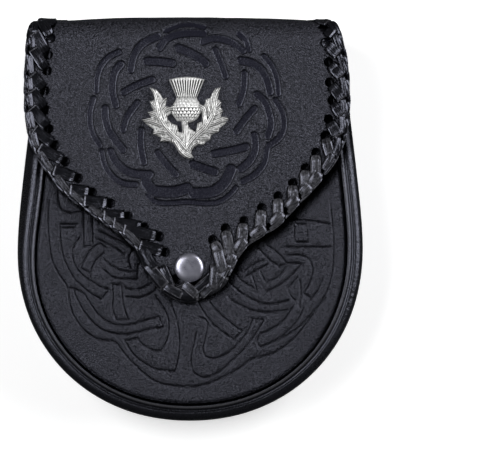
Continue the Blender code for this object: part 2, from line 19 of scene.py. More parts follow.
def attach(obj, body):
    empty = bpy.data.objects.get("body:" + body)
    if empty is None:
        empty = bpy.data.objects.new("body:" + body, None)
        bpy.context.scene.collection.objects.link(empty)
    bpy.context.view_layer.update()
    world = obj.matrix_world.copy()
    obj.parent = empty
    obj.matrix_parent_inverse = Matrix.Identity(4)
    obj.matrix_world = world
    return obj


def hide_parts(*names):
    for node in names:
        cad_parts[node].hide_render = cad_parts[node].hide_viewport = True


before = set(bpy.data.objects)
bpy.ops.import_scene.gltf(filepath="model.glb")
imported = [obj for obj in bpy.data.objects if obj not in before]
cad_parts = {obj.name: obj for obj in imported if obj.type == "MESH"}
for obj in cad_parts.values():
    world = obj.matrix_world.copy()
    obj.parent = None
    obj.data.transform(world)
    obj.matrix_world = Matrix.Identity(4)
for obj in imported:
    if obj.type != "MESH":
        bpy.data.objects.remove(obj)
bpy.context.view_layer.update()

MM = 0.001

# ---- the photograph's pixels
PHOTO_MM = 0.512  # size of one pixel on the pouch's front
PHOTO_ORIGIN = (189.5, 219.2)  # pixel that shows x = 0, y = 0

# ---- body, as in the CAD model
HALF_WIDTH = 89.0
WIDEST_Y = -14.7
BOTTOM_DEPTH = 88.9
BOTTOM_ROUNDNESS = 2.1
SIDE_TAPER = 0.125
SIDE_TAPER_START = 18.0
ROLL_RADIUS = 4.4
FRONT_ROLL_Z = 36.7
REAR_ROLL_Z = 4.4
GUSSET_THICKNESS = 1.6
GUSSET_WAIST = 1.4
GUSSET_TOP_Y = 89.0
REAR_TUCK = 58.0
ROLL_SECTION = (
    # inset and height, from the edge tucked in beside the panel, over the bead, its crease and the roll
    (7.5, 35.6), (7.85, 36.8), (8.05, 38.0), (8.08, 39.0), (8.04, 39.6), (7.92, 40.0), (7.7, 40.2),
    (7.35, 40.2), (6.85, 40.05), (6.3, 39.76), (5.8, 39.36), (5.42, 39.02), (5.15, 39.18), (4.9, 39.75),
    (4.68, 40.25), (4.4, 40.5), (3.8, 40.5), (3.0, 40.25), (2.2, 39.85), (1.5, 39.3), (0.9, 38.5),
    (0.4, 37.2), (0.1, 35.4), (0.0, 33.5),
)
ROLL_TOP_Z = 40.5
BEAD_INSET = 7.1  # middle of the painted highlight along the bead
# middle of the painted shade in the crease beside the bead
CREASE_INSET = 5.3
LEFT_SHIFT = 3.2  # how far the left side's roll leans in at its top
SHIFT_FROM, SHIFT_TO = -58.0, 22.0  # y between which it comes to lean
FRONT_FACE_Z = 38.8
FRONT_THICKNESS = 2.2
BACK_FACE_Z = 6.6
BACK_THICKNESS = 2.0
BACK_TOP_Y = 95.2
BACK_SEAM_INSET = 2.6
# Insets of the mesh's rows along the back's edge.
BACK_SEAM_ROWS = (0.4, 0.8, 1.3, 1.9, 2.3, 2.6, 2.9, 3.3, 4.0)
BACK_PITCH = 2.6
STITCH_LENGTH = 3.4
STITCH_GAP = 0.8
PANEL_INSET = 9.1
PANEL_CORNER = 9.0
GAP = 0.3
GUSSET_STEP = 0.74  # spacing of the gusset's sections
WRINKLE_LENGTHS = (2.1, 2.7, 3.4, 4.6, 6.1)

# ---- flap, as in the CAD model
FLAP_THICKNESS = 2.4
FLAP_LEVEL = 44.1
FOLD_RADIUS = 12.0
REAR_FOLD_RADIUS = 6.0
FOLD_Y = 100.9
SAG_START_Y = 28.0
SAG_LENGTH = 53.0
FLAP_SAG = 0.8
FOLD_FULLNESS = 1.8  # how far the fold's middle bulges up
FOLD_FULL_WIDTH = 78.0
FOLD_FULL_LENGTH = 9.0
TAIL_Z = BACK_FACE_Z - GAP - FLAP_THICKNESS / 2
TAIL_LENGTH = 16.0
FOLD_START = FOLD_Y - FOLD_RADIUS
WALL_START = FOLD_START + FOLD_RADIUS * math.pi / 2
WALL_TOP_Z = FLAP_LEVEL - FOLD_RADIUS
WALL_END_Z = TAIL_Z + REAR_FOLD_RADIUS
WALL_END = WALL_START + WALL_TOP_Z - WALL_END_Z
TAIL_START = WALL_END + REAR_FOLD_RADIUS * math.pi / 2
TAIL_END = TAIL_START + TAIL_LENGTH
FLAP_LOW = (-88.0, -44.0)  # corners of the lattice that the flap's mesh is cut from
FLAP_HIGH = (86.0, TAIL_END + 1.0)
FLAP_PITCH = 0.48
HOLE_DIP = 0.35  # how far the leather is drawn in round a hole
STRIP_DIP = 0.3  # and under a strip
NEARBY = 3.0  # distances to holes, strips and grooves are worked out up to this

# Outer line of the laced edge: x, s from the tail's left end round the tip to its right end.
LACED_EDGE = (
    (-65.0, TAIL_END), (-65.0, TAIL_START), (-67.0, 127.0), (-72.0, 117.0), (-78.5, 107.0), (-82.6, 99.5),
    (-84.2, 82.0), (-84.7, 64.6), (-83.9, 50.3), (-79.5, 34.0), (-65.6, 14.7), (-53.2, 4.6), (-43.5, -2.6),
    (-33.6, -9.4), (-26.4, -17.5), (-20.7, -28.1), (-15.0, -35.7), (-7.5, -40.5), (0.5, -42.0),
    (8.5, -39.8), (15.8, -35.0), (21.8, -26.6), (25.8, -19.0), (31.5, -12.6), (45.3, -3.9), (55.0, 6.2),
    (63.2, 14.6), (72.4, 25.6), (77.4, 34.0), (80.6, 43.5), (82.2, 54.9), (82.2, 66.1), (80.9, 82.0),
    (76.5, 99.5), (73.0, 107.0), (69.5, 117.0), (66.5, 127.0), (65.0, TAIL_START), (65.0, TAIL_END),
)
LACE_REACH = 2.2  # from the leather's edge out to the lace's outer line
# distance out from the leather's edge at which the lacing's painted shadow starts
LACE_SHADE_START = LACE_REACH - 0.4

# ---- lacing: punched holes as x, s, in the order in which the lace runs
HOLE_RADIUS = 2.3
HOLE_SEARCH = 60  # how many points of the edge ahead the next hole is looked for
LACE_HOLES = (
    (-59.3, 119.0), (-65.0, 109.5), (-71.1, 100.2), (-70.9, 92.5), (-72.3, 84.1), (-72.8, 75.9),
    (-73.9, 65.7), (-73.6, 55.9), (-71.9, 46.3), (-68.9, 37.9), (-63.5, 29.4), (-57.0, 20.9), (-49.7, 13.7),
    (-40.4, 8.1), (-31.5, 1.4), (-23.1, -4.2), (-15.4, -8.9), (-12.4, -16.9), (-13.1, -25.9), (-6.5, -30.6),
    (3.6, -32.4), (12.6, -26.4), (14.2, -17.2), (12.0, -10.6), (18.4, -4.7), (27.9, -1.0), (37.0, 5.8),
    (45.3, 11.7), (52.9, 18.5), (59.3, 26.2), (64.7, 34.0), (69.3, 42.7), (71.1, 51.1), (73.0, 60.8),
    (71.7, 69.9), (71.1, 80.3), (69.4, 90.1), (68.5, 98.3), (62.5, 107.5), (58.9, 117.0),
)
# How far each strip leans back along the edge on its way out from its hole, in degrees, by the hole's number.
STRIP_LEAN = (
    (0, 50), (6, 52), (8, 58), (10, 61), (15, 60), (18, 40), (21, 22), (23, 34), (26, 42), (30, 52), (34, 57),
    (39, 57),
)
STRIP_WIDTH = 5.4
STRIP_THICKNESS = 0.9
LACE_RIM = 0.6  # width of the lace's raised edges
LACE_SKIRT = 0.4  # how far its cut sides spread below them
STRIP_END = ((0, 1.9), (8, 1.6), (10, 1.5), (17, 1.2), (22, 1.6), (30, 2.0), (39, 2.3))  # in from the edge
STRIP_BEND = (
    # distance from the hole's centre, height over the middle of the leather, width as a share of the strip's
    (1.90, -0.5, 0.74), (1.98, 0.2, 0.80), (2.15, 0.55, 0.84), (2.50, 0.78, 0.88), (3.00, 1.05, 0.92),
    (3.50, 1.32, 0.96), (3.95, 1.56, 0.99), (4.50, 1.66, 1.0),
)
THIN_FROM, THIN_TO = 104.0, 112.0  # the lace is drawn tighter behind the fold, between these distances
CREST_RADIUS = 2.1
CREST_TURN_CENTRE = 0.5
CREST_TURN = CREST_RADIUS * math.pi / 2  # length of the binding from its outermost line to where it lies flat
STRIP_END_STEPS = (0.75, 0.5, 0.25, 0.0)  # last rows of a strip, before its end
# Height and width share of a strip's last seven rows.
STRIP_END_RISE = (0.0, 0.0, 0.0, 0.12, 0.22, 0.1, -0.25)
STRIP_END_WIDTHS = (1.0, 1.0, 1.0, 1.0, 1.0, 0.99, 0.94)
SKIRT_POINTS = 3  # last points of the lace's section, which are its underside, painted black as shade
PLUG_ROWS = 7
PLUG_WIDTH = 4.2
CORE_STEP = 1.6
CORE_HALF_WIDTH = 5.2
CORE_POINTS = 17
LEAF_SPACING = 9.4  # between strips where the leaves have their full length
UPPER_FROM = 60.0  # distance s from which the painted highlights on the leaves' edges are weaker
INNER_FROM = 2.0  # a leaf that ends further across than this is in the row beside the leather
LEAF_ROWS = (
    # share of a leaf's length, share of its width, drop
    (0.0, 0.5, 0.0), (0.06, 0.78, 0.0), (0.15, 0.93, 0.0), (0.28, 1.0, 0.0), (0.42, 1.0, 0.0),
    (0.56, 1.0, 0.0), (0.7, 1.0, 0.0), (0.82, 1.0, 0.0), (0.91, 0.99, 0.0), (0.95, 0.97, 0.08),
    (0.98, 0.93, 0.2), (1.0, 0.86, 0.42),
)
SIDE_LEAVES = (
    # begin and end along the edge from a strip's end, across at both, width, lift at both, dome
    (-8.4, -0.3, 3.3, 4.5, 2.9, -0.45, -0.1, 0.0),
    (-9.6, -1.6, 0.8, 2.6, 2.0, -0.3, 0.1, 0.0),
    (-6.0, 1.8, -1.2, 0.7, 1.9, -0.2, 0.05, 0.0),
)
LEFT_LEAVES = (
    (-8.4, -0.3, 3.5, 3.1, 3.8, -0.45, -0.1, 0.0),
    (-10.0, -0.8, -0.3, 1.6, 2.1, -0.3, 0.15, 0.0),
    (-6.0, 1.6, -2.2, -0.8, 1.9, -0.2, 0.05, 0.0),
)
RIGHT_LEAVES = (
    (-4.6, 1.9, 3.9, 4.5, 4.7, 0.2, 0.5, 0.55),
    (-6.0, 0.4, 2.3, 0.9, 1.9, -0.1, 0.1, 0.25),
    (-8.8, 0.2, 0.6, -0.8, 1.9, -0.2, 0.05, 0.1),
)
TIP_LEAVES = (
    (-9.5, 0.8, 2.6, 3.7, 6.6, 0.1, 0.6, 0.0),
    (-10.0, -0.8, -0.4, 0.6, 2.3, -0.3, 0.15, 0.0),
    (-6.0, 1.6, -2.2, -0.8, 1.9, -0.2, 0.05, 0.0),
)
HIDDEN_STRIPS = (18, 19, 20, 21, 22)  # numbers of the holes whose strips are the tip's bands instead
# Wide bands that overlap at the tip, with painted highlights on their left and right edges as seen along each
# band and a painted sheen on their tops.
TIP_BANDS = (
    # x and s at the start and at the end, width, height at the start and at the end, painted highlights on
    # the two edges, painted sheen
    (-13.6, -25.0, -9.3, -34.4, 4.6, 1.75, 2.1, 0.2, 0.05, 0.0),
    (-1.4, -33.2, -7.6, -36.4, 2.6, 1.8, 2.2, 0.25, 0.25, 0.06),
    (-2.6, -33.2, 3.6, -38.6, 4.6, 2.4, 2.9, 0.4, 0.6, 0.12),
    (-12.2, -34.0, -3.6, -38.9, 4.3, 2.2, 2.5, 0.6, 0.45, 0.03),
    (-21.0, -23.5, -12.4, -33.8, 5.2, 2.3, 2.8, 0.7, 0.2, 0.03),
    (10.8, -29.4, 1.8, -37.6, 4.2, 2.0, 2.6, 0.2, 0.3, 0.0),
    (12.8, -33.0, 6.6, -38.9, 3.4, 2.4, 2.5, 0.6, 0.1, 0.05),
    (19.2, -24.6, 14.4, -34.0, 3.4, 2.4, 2.5, 0.5, 0.6, 0.04),
    (13.0, -24.0, 12.2, -34.8, 4.4, 2.1, 3.0, 0.35, 0.25, 0.12),
    (14.4, -16.2, 17.3, -26.6, 5.4, 2.2, 3.1, 0.35, 0.25, 0.2),
)
BAND_ROWS = (
    # share of the band's length and millimetres more, drop, share of its width
    (0.0, -0.6, 1.3, 0.9), (0.0, -0.3, 0.7, 0.95), (0.0, 0.2, 0.25, 1.0), (0.0, 1.2, 0.0, 1.0),
    (1 / 3, 0.0, 0.0, 1.0), (1 / 2, 0.0, 0.0, 1.0), (2 / 3, 0.0, 0.0, 1.0),
    (1.0, -1.4, 0.0, 1.0), (1.0, -0.5, 0.12, 1.0), (1.0, -0.1, 0.45, 0.95), (1.0, 0.3, 1.3, 0.85),
)
# Numbers of the holes between which each kind of leaf grows and fades.
LEFT_ZONE = (8, 10, 17, 18)
TIP_ZONE = (17, 18, 21, 22)
RIGHT_ZONE = (20, 22, 30, 32)

# ---- embossed wreath round the badge: width of each pressed ribbon, then points along its middle
RING_RIBBONS_PX = (
    (8.0, ((160, 48), (166, 40), (177, 35), (190, 33.5), (204, 34))),
    (8.0, ((131, 70), (133.5, 58), (139, 48), (148, 41), (158, 37))),
    (7.5, ((203, 42), (213, 39), (224, 40), (234, 44), (243, 51))),
    (6.0, ((166, 31), (178, 25.5), (190, 24), (204, 27))),
    (6.5, ((239, 34), (246, 41), (249, 50))),
    (8.5, ((241, 61), (251, 63), (260, 69), (266.5, 79), (270, 92))),
    (6.5, ((264, 57), (271.5, 65.5), (276.5, 78), (278.5, 94))),
    (8.0, ((257, 95), (264, 101), (268.5, 111), (271, 124), (268, 136))),
    (7.0, ((275.5, 101), (282, 112), (284, 126), (279.5, 138), (269, 146))),
    (8.5, ((254.5, 136), (255.5, 149), (250, 161), (241, 169))),
    (7.0, ((267, 150), (264, 164), (255, 175), (243, 181.5))),
    (11.5, ((231, 170), (226, 181), (217, 190), (206, 193), (194, 193.5))),
    (11.5, ((146.5, 182), (152, 190), (163, 192), (175, 192), (187, 188.5))),
    (5.5, ((148, 196), (156, 202), (168, 203.3), (187, 202), (205, 203.3), (219, 202), (230, 195),
     (236, 188))),
    (8.5, ((111, 152), (115.5, 161), (124, 169.5), (136, 174), (150, 174.5))),
    (6.5, ((102, 152), (105, 165), (113, 177), (124, 183.5), (136, 184.5))),
    (6.5, ((94, 99), (90.5, 111), (90.5, 124), (93.5, 135), (100, 145.5))),
    (8.5, ((105.5, 109), (106, 120), (110, 132), (117.5, 143), (123, 149.5))),
    (6.5, ((119, 52.5), (109, 57.5), (101.5, 66.5), (97.5, 78), (97, 91))),
    (8.5, ((121, 65), (115.5, 71.5), (113, 82), (112.8, 93), (116, 105))),
    (8.5, ((147, 61.5), (160, 62), (172.5, 63.5))),
    (9.0, ((178.5, 48.5), (190, 53), (200, 59), (205.5, 63.5))),
    (7.5, ((215.5, 50.5), (221, 63), (225.5, 76))),
    (7.5, ((244.5, 74), (243.5, 90), (239, 104))),
    (7.5, ((254.5, 109), (245, 120), (236.5, 132))),
    (8.0, ((214, 154), (230, 151), (246, 147))),
    (8.5, ((193, 164.5), (204, 168.5), (215, 172))),
    (8.0, ((158, 153.5), (166, 164), (176, 174.5))),
    (8.0, ((141.3, 131), (141, 146), (144, 162))),
    (7.5, ((123.5, 129.5), (127.5, 117), (137.5, 103.5))),
    (7.5, ((124, 92.5), (136, 86), (152.5, 80))),
)
RING_DEPTH = 0.75
RING_FIELD_REACH = 4.0
RING_WALL = 0.95  # width of a pressed ribbon's side walls

# ---- grooves of the interlace on the front panel
FRONT_GROOVES_PX = (
    ((48.8, 200), (47.7, 222), (49.4, 244), (52.3, 261), (58, 273), (65, 283), (68, 290), (69.6, 303),
     (74, 316.5), (82, 328), (91.5, 336), (101, 340), (112, 341), (118, 345), (127, 357), (140, 370),
     (153, 380), (168, 385), (190, 387), (210, 383), (235, 371), (252, 359), (262, 356.5), (276, 352),
     (290, 342), (303, 328), (318, 307), (328, 289), (333, 268), (334, 240), (331, 205)),
    ((60, 224), (60.4, 239), (62.7, 255), (67, 266), (74, 278.5), (82, 286.5), (91.5, 294), (101, 299)),
    ((101, 299), (107, 292)),
    ((60, 224), (76.5, 224)),
    ((60, 227.5), (74, 227.5)),
    ((79, 238), (75, 244), (72.5, 251), (73, 259), (76.5, 268), (84.6, 277), (94, 283), (103, 288),
     (109, 289.4)),
    ((58, 193), (58.6, 201), (60.4, 208), (65, 211.5), (72, 212.7), (80, 211.5)),
    ((83.5, 212), (83.5, 246.5)),
    ((92.5, 220), (92.5, 246.5)),
    ((83.5, 246.5), (92.5, 246.5)),
    ((96, 238), (108, 244), (117, 248.5), (124, 254)),
    ((101, 231), (112, 237), (121, 241), (131, 247)),
    ((81, 268), (84.6, 259), (89, 252), (96, 245), (101, 243)),
    ((101, 243), (106, 248)),
    ((90.4, 276), (91.5, 268), (96, 260), (104, 252.5)),
    ((81, 268), (90.4, 273.5)),
    ((133, 250), (129, 258), (131, 267)),
    ((104, 259), (110, 264.6), (120, 270), (130, 271.5), (138, 271)),
    ((104, 270), (111, 276), (120, 278.5), (137.5, 279)),
    ((138, 266), (137.5, 279)),
    ((122, 284), (126, 288), (131, 289.4), (140, 289), (149, 285)),
    ((127, 297), (139, 297.5), (148, 294.6), (156, 290)),
    ((71, 288), (78, 290), (84.6, 294.6), (90.4, 304), (98.5, 315), (108, 322), (118, 325), (130, 324.6),
     (143.5, 321), (158.5, 316.5)),
    ((158.5, 316.5), (163, 327)),
    ((74, 291), (77, 299), (83, 310), (91.5, 321), (103, 330), (119, 334), (135, 333), (150, 329),
     (163, 327)),
    ((112, 284.5), (121.5, 284.5)),
    ((112, 284.5), (113, 297), (112.5, 308.5), (116.5, 320)),
    ((121.5, 284.5), (122.7, 300), (125, 311), (128.5, 320)),
    ((116.5, 320), (128.5, 320)),
    ((156, 296), (162, 305), (167, 315), (169, 326), (167.5, 337), (163, 349)),
    ((171, 303), (177, 321), (179.5, 340), (178.5, 356), (175, 371)),
    ((125, 341), (137, 338)),
    ((137, 338), (143, 345), (152, 350), (160, 350.5), (165, 344)),
    ((125, 341), (134, 355), (147, 365), (160, 370), (175, 371)),
    ((197, 330), (193.5, 345), (191, 360), (193, 371), (199, 376.5), (208, 377), (220, 371), (233, 360),
     (247, 346), (256, 333), (264, 320)),
    ((208, 326), (205, 340), (203, 350), (206, 356.5), (214, 358.5), (225, 354.5), (236, 346),
     (246, 334), (253, 319)),
    ((253, 319), (264, 320)),
    ((200, 317.5), (206, 320), (209, 326)),
    ((210, 303), (220, 314), (230, 322.5), (242, 331.5)),
    ((199, 304), (210, 321), (222, 331.5), (234, 340)),
    ((242, 331.5), (234, 340)),
    ((260, 334), (273, 328.5), (285, 318.5), (294, 305)),
    ((260, 347), (273, 342), (286, 333), (297, 321), (304, 308)),
    ((260, 334), (257, 341), (260, 347)),
    ((293, 219.5), (312, 221), (330, 224)),
    ((286, 247), (331, 247)),
    ((297, 224), (306.5, 224)),
    ((294.5, 226), (295, 241)),
    ((307.5, 229), (308, 241)),
    ((297, 242), (307, 242)),
    ((288.5, 255), (300, 255), (308, 258.5), (312.5, 266), (312.5, 275), (309, 285), (304, 293)),
    ((304, 293), (312, 298.5)),
    ((312, 298.5), (319, 289), (324, 277)),
    ((326.5, 297), (318.5, 306), (309, 316.5), (300, 326), (287, 335), (273, 342)),
    ((266.5, 245), (278, 253), (287, 264)),
    ((260, 250), (270, 260), (280, 267)),
    ((280, 267), (287, 263), (301, 264)),
    ((286, 268), (278, 277), (267, 282)),
    ((300, 266), (291, 276), (281, 284), (270, 290)),
    ((234, 271.5), (242, 281), (254, 288)),
    ((231, 284), (240, 292), (250, 298), (261, 303), (273, 304), (288.5, 300.5)),
    ((230, 299), (240, 305), (251.5, 310), (268, 312.5), (287, 310)),
    ((244, 271), (254, 264), (264, 260)),
    ((248, 275), (257, 270), (267, 264.5)),
    ((253, 277), (257, 290)),
    ((260.5, 271), (266, 283)),
    ((298, 277), (288.5, 288)),
    ((288.5, 288), (290.5, 295), (295, 300)),
    ((300, 279), (301.5, 293), (300, 306)),
)
GROOVE_STEP = 0.85  # spacing of the mesh's points along a groove
# Offsets of the mesh's rows beside a groove.
GROOVE_ROWS = (-1.5, -0.75, -0.4, -0.18, 0.0, 0.18, 0.4, 0.75, 1.5)
GROOVE_PROFILE = (
    # distance from the groove's middle, depth
    (0.0, 0.72), (0.18, 0.6), (0.4, 0.2), (0.75, -0.02), (1.5, -0.13), (2.2, -0.16), (3.0, -0.1),
)
PANEL_RIM_DROP = 0.75  # how far the panel's edge turns down beside the rolled rim
PANEL_RIM_WIDTH = 1.6
PANEL_RIM_ROWS = (0.4, 0.85, 1.4, 2.2)
PANEL_DOME = 0.5
PANEL_DOME_REACH = 45.0  # inset at which the panel is at its fullest
PANEL_PITCH = 2.3

# ---- snap and badge
SNAP_Y = -24.8
CAP_RADIUS = 7.5
CAP_HEIGHT = 2.6
CAP_RIM = 0.55  # height at which the dome starts
STUD_HOLE_RADIUS = 2.0
POST_RADIUS = 2.1
BADGE_X = -1.3
BADGE_Y = 51.8
BADGE_POST_RADIUS = 1.8
BADGE_POST_LENGTH = 4.4
BADGE_BASE_Z = FLAP_LEVEL + FLAP_THICKNESS / 2 + GAP
BADGE_PITCH = 0.21
BADGE_MARGIN = 1.0  # of the lattice round the badge
BADGE_OUTLINE_PX = (
    (169.2, 80.1), (175.2, 78.4), (181, 77.6), (187.2, 77.2), (194, 77.6), (199.9, 78.5), (204.6, 79.9),
    (196.8, 97.9), (198.5, 103), (201.9, 105.2), (204.7, 105.2), (205.9, 99.6), (210.4, 98.2), (212.5, 93),
    (215.4, 88.8), (221, 87.3), (218.9, 93.9), (218.2, 99.6), (221.7, 102.4), (220.5, 107), (223.1, 111.5),
    (220.3, 116.8), (226.6, 117.2), (228.7, 119.3), (225.2, 124.2), (219.6, 128.5), (218.9, 132),
    (211.1, 135.5), (210.4, 139.7), (205.5, 142.5), (204.1, 145.4), (197.7, 145.4), (193.9, 148.2),
    (191.7, 150.6), (191.4, 153.8), (193.8, 157.6), (190, 159.4), (185.1, 158), (180.1, 154.5),
    (177.3, 149.6), (173.8, 144), (169.6, 142.1), (160.1, 141.8), (161.5, 137.9), (152.7, 134.5),
    (154.4, 129.9), (146.3, 124.2), (142.2, 119.8), (151.4, 117.6), (147.8, 112.2), (153.4, 111.2),
    (149.8, 101.6), (154.6, 100.2), (153.0, 93.4), (149.6, 87.4), (156.9, 90.2), (160.5, 94.5),
    (163.2, 99.2), (167.2, 98.0), (165.5, 106.5), (170.3, 107.3), (174.8, 103.8), (176.8, 97.7),
)
BADGE_GAPS_PX = (
    ((167.5, 116.5), (171.7, 113.5), (177.3, 121.4), (181.6, 121.7), (182.7, 132.3), (179.0, 132.3),
     (177.3, 125.6), (172.8, 124.2), (168.2, 120.0)),
    ((202.0, 112.6), (202.0, 122.0), (197.7, 123.1), (195.7, 131.9), (190.4, 129.0), (187.8, 124.2)),
)
# Ridges of the two leaves: half width, height, and the line along each from its root to its tip.
BADGE_RIDGES_PX = (
    (2.6, 1.9, ((186.3, 150), (179.7, 142), (174.3, 136.7), (169, 131.3), (163.7, 124.7), (159.7, 117.5))),
    (2.3, 1.7, ((159.7, 117.5), (157.7, 110.7), (156.3, 102), (154.3, 94.7), (150.8, 88.6))),
    (1.7, 1.3, ((159.5, 110), (162, 103.5), (166.4, 98.6))),
    (2.0, 1.3, ((158.5, 112), (154, 106.5), (150.6, 102.3))),
    (2.1, 1.3, ((160.5, 119), (154.5, 114.8), (148.6, 112.7))),
    (2.3, 1.4, ((165.5, 127), (157, 123.3), (150, 121), (143.2, 120))),
    (2.0, 1.3, ((169.5, 132), (161, 132.6), (153.8, 134))),
    (2.2, 1.3, ((175, 138), (167.5, 139.2), (161, 141))),
    (2.6, 1.7, ((165.8, 121.5), (163.8, 114), (166.8, 109.3), (172.5, 108))),
    (1.7, 1.2, ((169.5, 130), (170.5, 126), (171.3, 121.8))),
    (1.7, 1.2, ((175, 134.5), (176.5, 129), (177, 124.8))),
    (2.6, 1.9, ((186.3, 150), (192.3, 141), (199, 134), (205, 128.7), (209.7, 121.3), (213, 114.7))),
    (2.3, 1.7, ((213, 114.7), (214.3, 108), (215, 100.7), (217, 94), (220, 88.6))),
    (1.8, 1.3, ((210.5, 113), (208, 106), (206.7, 100.6))),
    (2.0, 1.3, ((213.7, 110), (218, 106), (220.8, 102.9))),
    (2.0, 1.3, ((211.7, 117.5), (217.5, 114.2), (222, 111.6))),
    (2.4, 1.4, ((207, 125.5), (215.7, 122.7), (222.3, 120), (227.6, 118.8))),
    (2.2, 1.3, ((201, 133.5), (210.3, 131.5), (218.5, 130.8))),
    (2.0, 1.3, ((194.3, 139.5), (203, 138.7), (210, 138.4))),
    (2.1, 1.3, ((189.5, 145.5), (197, 143.5), (203.3, 144.5))),
    (2.4, 1.7, ((205.7, 125.5), (204.4, 115.5), (203.6, 109.5), (199, 106.8))),
    (1.9, 1.2, ((197, 132.5), (197.5, 127.5), (198, 124))),
    (3.2, 1.6, ((186, 123), (186.2, 131), (186.5, 140), (186.5, 150))),
    (3.4, 1.9, ((174.3, 141), (179.7, 150), (185, 155.3), (190.3, 157.9), (193.3, 157.6))),
    (2.3, 1.5, ((197, 142.6), (191.7, 146.7), (189.7, 152))),
)
BADGE_PLATE = 1.15  # thickness of the cast leaves between their ridges
BULB_CENTRE_PX = (186.9, 109.6)
BULB_HALF_WIDTH = 7.4
BULB_HALF_HEIGHT = 6.9
BULB_HEIGHT = 4.0
FAN_APEX_PX = (186.9, 121.3)
FAN_NECK_PX = 97.5  # the fan's lower edge
FAN_HEIGHT = 2.8
FLUTES = 13
RIDGE_REACH = 2.5
FAN_HALF_ANGLE = 24.5  # degrees
FAN_LENGTH = 9.5
SCALE_ROWS = 4.2  # of the bulb's scales, in half its height
SCALE_COLUMNS = 3.6
LACE_CIRCLES = [(x, s, HOLE_RADIUS) for x, s in LACE_HOLES]
FIXING_CIRCLES = [(0.0, SNAP_Y, POST_RADIUS + GAP), (BADGE_X, BADGE_Y, BADGE_POST_RADIUS + GAP)]

# ---- belt loops
LOOP_WIDTH = 22.0
LOOP_THICKNESS = 1.7
LOOP_X = 41.0
LOOP_TOP_Y = 68.0
LOOP_FOOT = 10.0
LOOP_BEND = 8.0
LOOP_SPAN = 32.0
LOOP_POINTS = 40
LOOP_SEAM = (8.5, 3.2)  # half width and half height of each rectangle of stitches
DOWN = (0.0, 0.0, -1.0)  # out of the back

# ---- tones, as linear colours
LEATHER_TINT = (0.78, 0.81, 1.0, 1.0)  # of the gloss on all the leather
PANEL_TONE = (0.0038, 0.0038, 0.0048)
FLAP_TONE = (0.0045, 0.0045, 0.0056)
BACK_TONE = (0.008, 0.008, 0.009)
RIBBON_TONE = (0.0085, 0.0085, 0.0145)
# black of the painted shade in grooves, holes, creases, the lace's undersides and the lacing's shadow
PAINTED_SHADE_TONE = (0.0005, 0.0005, 0.0006)
GUSSET_TONE = (0.006, 0.006, 0.0072)
# colour of the painted highlight along the gusset's bead
PAINTED_BEAD_HIGHLIGHT_TONE = (0.045, 0.045, 0.049)
# colour of the painted highlights and sheen on the lace
PAINTED_LACE_HIGHLIGHT_TONE = (0.3, 0.3, 0.335)
BLACK = (0.0, 0.0, 0.0)
LACE_TONES = ((0.001, 0.001, 0.0013), (0.007, 0.007, 0.0085))
SILVER_TONES = ((0.58, 0.58, 0.57), (0.82, 0.82, 0.82))
HOLLOW_SILVER_TONE = (0.02, 0.02, 0.019)
GUNMETAL_TONES = ((0.27, 0.27, 0.33), (0.34, 0.34, 0.4))
THREAD_TONES = ((0.01, 0.01, 0.01), (0.04, 0.04, 0.042))

# ---- studio, in metres and degrees. Azimuth is from +Y towards +X.
SOFTBOXES = {
    # azimuth, elevation, distance, width, height, radiance
    "left_softbox": (-73.0, 51.0, 1.7, 1.1, 1.25, 6.0),
    "right_softbox": (68.0, 34.0, 1.6, 1.4, 0.75, 8.6),
}
WORLD_COLOR = (0.92, 0.96, 1.0, 1.0)
WORLD_STRENGTH = 0.05
FLOOR_COLOR = (0.9, 0.9, 0.9, 1.0)
FLOOR_GLOW = 0.35
FLOOR_REACH = 4.0
FLOOR_DROP = 0.0002

# ---- camera
CAMERA_X = 31.0
CAMERA_Y = -8.35
CAMERA_HEIGHT = 2000.0  # above the height of the front
CAMERA_FOCUS_Z = 42.0
FIELD_WIDTH = 256.0  # what the photograph's width spans at that height
SENSOR_WIDTH = 36.0

# ---- curves and meshes
LINE_RUN = 8  # segments of a line that are tried together
EDGE_REACH = 12.0  # distances to outlines are worked out up to this
CROWDED = 0.8  # a row's point goes when it is nearer to the outline than this share of the first inset
RIPPLE_WAVES = 6
BLOCK = 4  # lattice steps along the side of a block
NUDGE = 0.05  # step over which an inset's slope is measured
TINY = 1e-12  # keeps a division from failing


# ---------------------------------------------------------------- lines in a plane


def from_photo(points):
    """Places in millimetres of points read off the photograph in pixels."""
    return (np.array(points, float) - PHOTO_ORIGIN) * (PHOTO_MM, -PHOTO_MM)


def smooth_line(points, step=1.0):
    """A Catmull-Rom curve through the points, as short steps of about this length."""
    points = np.array(points, float)
    padded = np.vstack([points[:1], points, points[-1:]])
    pieces = []
    for p0, p1, p2, p3 in zip(padded, padded[1:], padded[2:], padded[3:]):
        count = max(1, round(math.dist(p1, p2) / step))
        t = np.arange(count)[:, None] / count
        slope = p2 - p0
        bend = 2 * p0 - 5 * p1 + 4 * p2 - p3
        twist = 3 * p1 - p0 - 3 * p2 + p3
        pieces.append(p1 + 0.5 * (slope * t + bend * t**2 + twist * t**3))
    return np.vstack([*pieces, points[-1:]])


def distance_along(line):
    return np.concatenate([[0.0], np.cumsum(np.linalg.norm(np.diff(line, axis=0), axis=1))])


def resample(line, step):
    """The same line as evenly spaced points, about this far apart."""
    along = distance_along(line)
    even = np.linspace(0.0, along[-1], max(2, round(along[-1] / step) + 1))
    return np.stack([np.interp(even, along, column) for column in line.T], axis=1)


def looked_up(value, table):
    """The second column of a table at a value of its first one."""
    return np.interp(value, *np.array(table, float).T)


def left_normals(line):
    """The unit normal on the left of the line's direction, at each of its points."""
    ahead = np.vstack([line[1:], line[-1:]]) - np.vstack([line[:1], line[:-1]])
    ahead /= np.linalg.norm(ahead, axis=1, keepdims=True)
    return np.stack([-ahead[:, 1], ahead[:, 0]], axis=1)


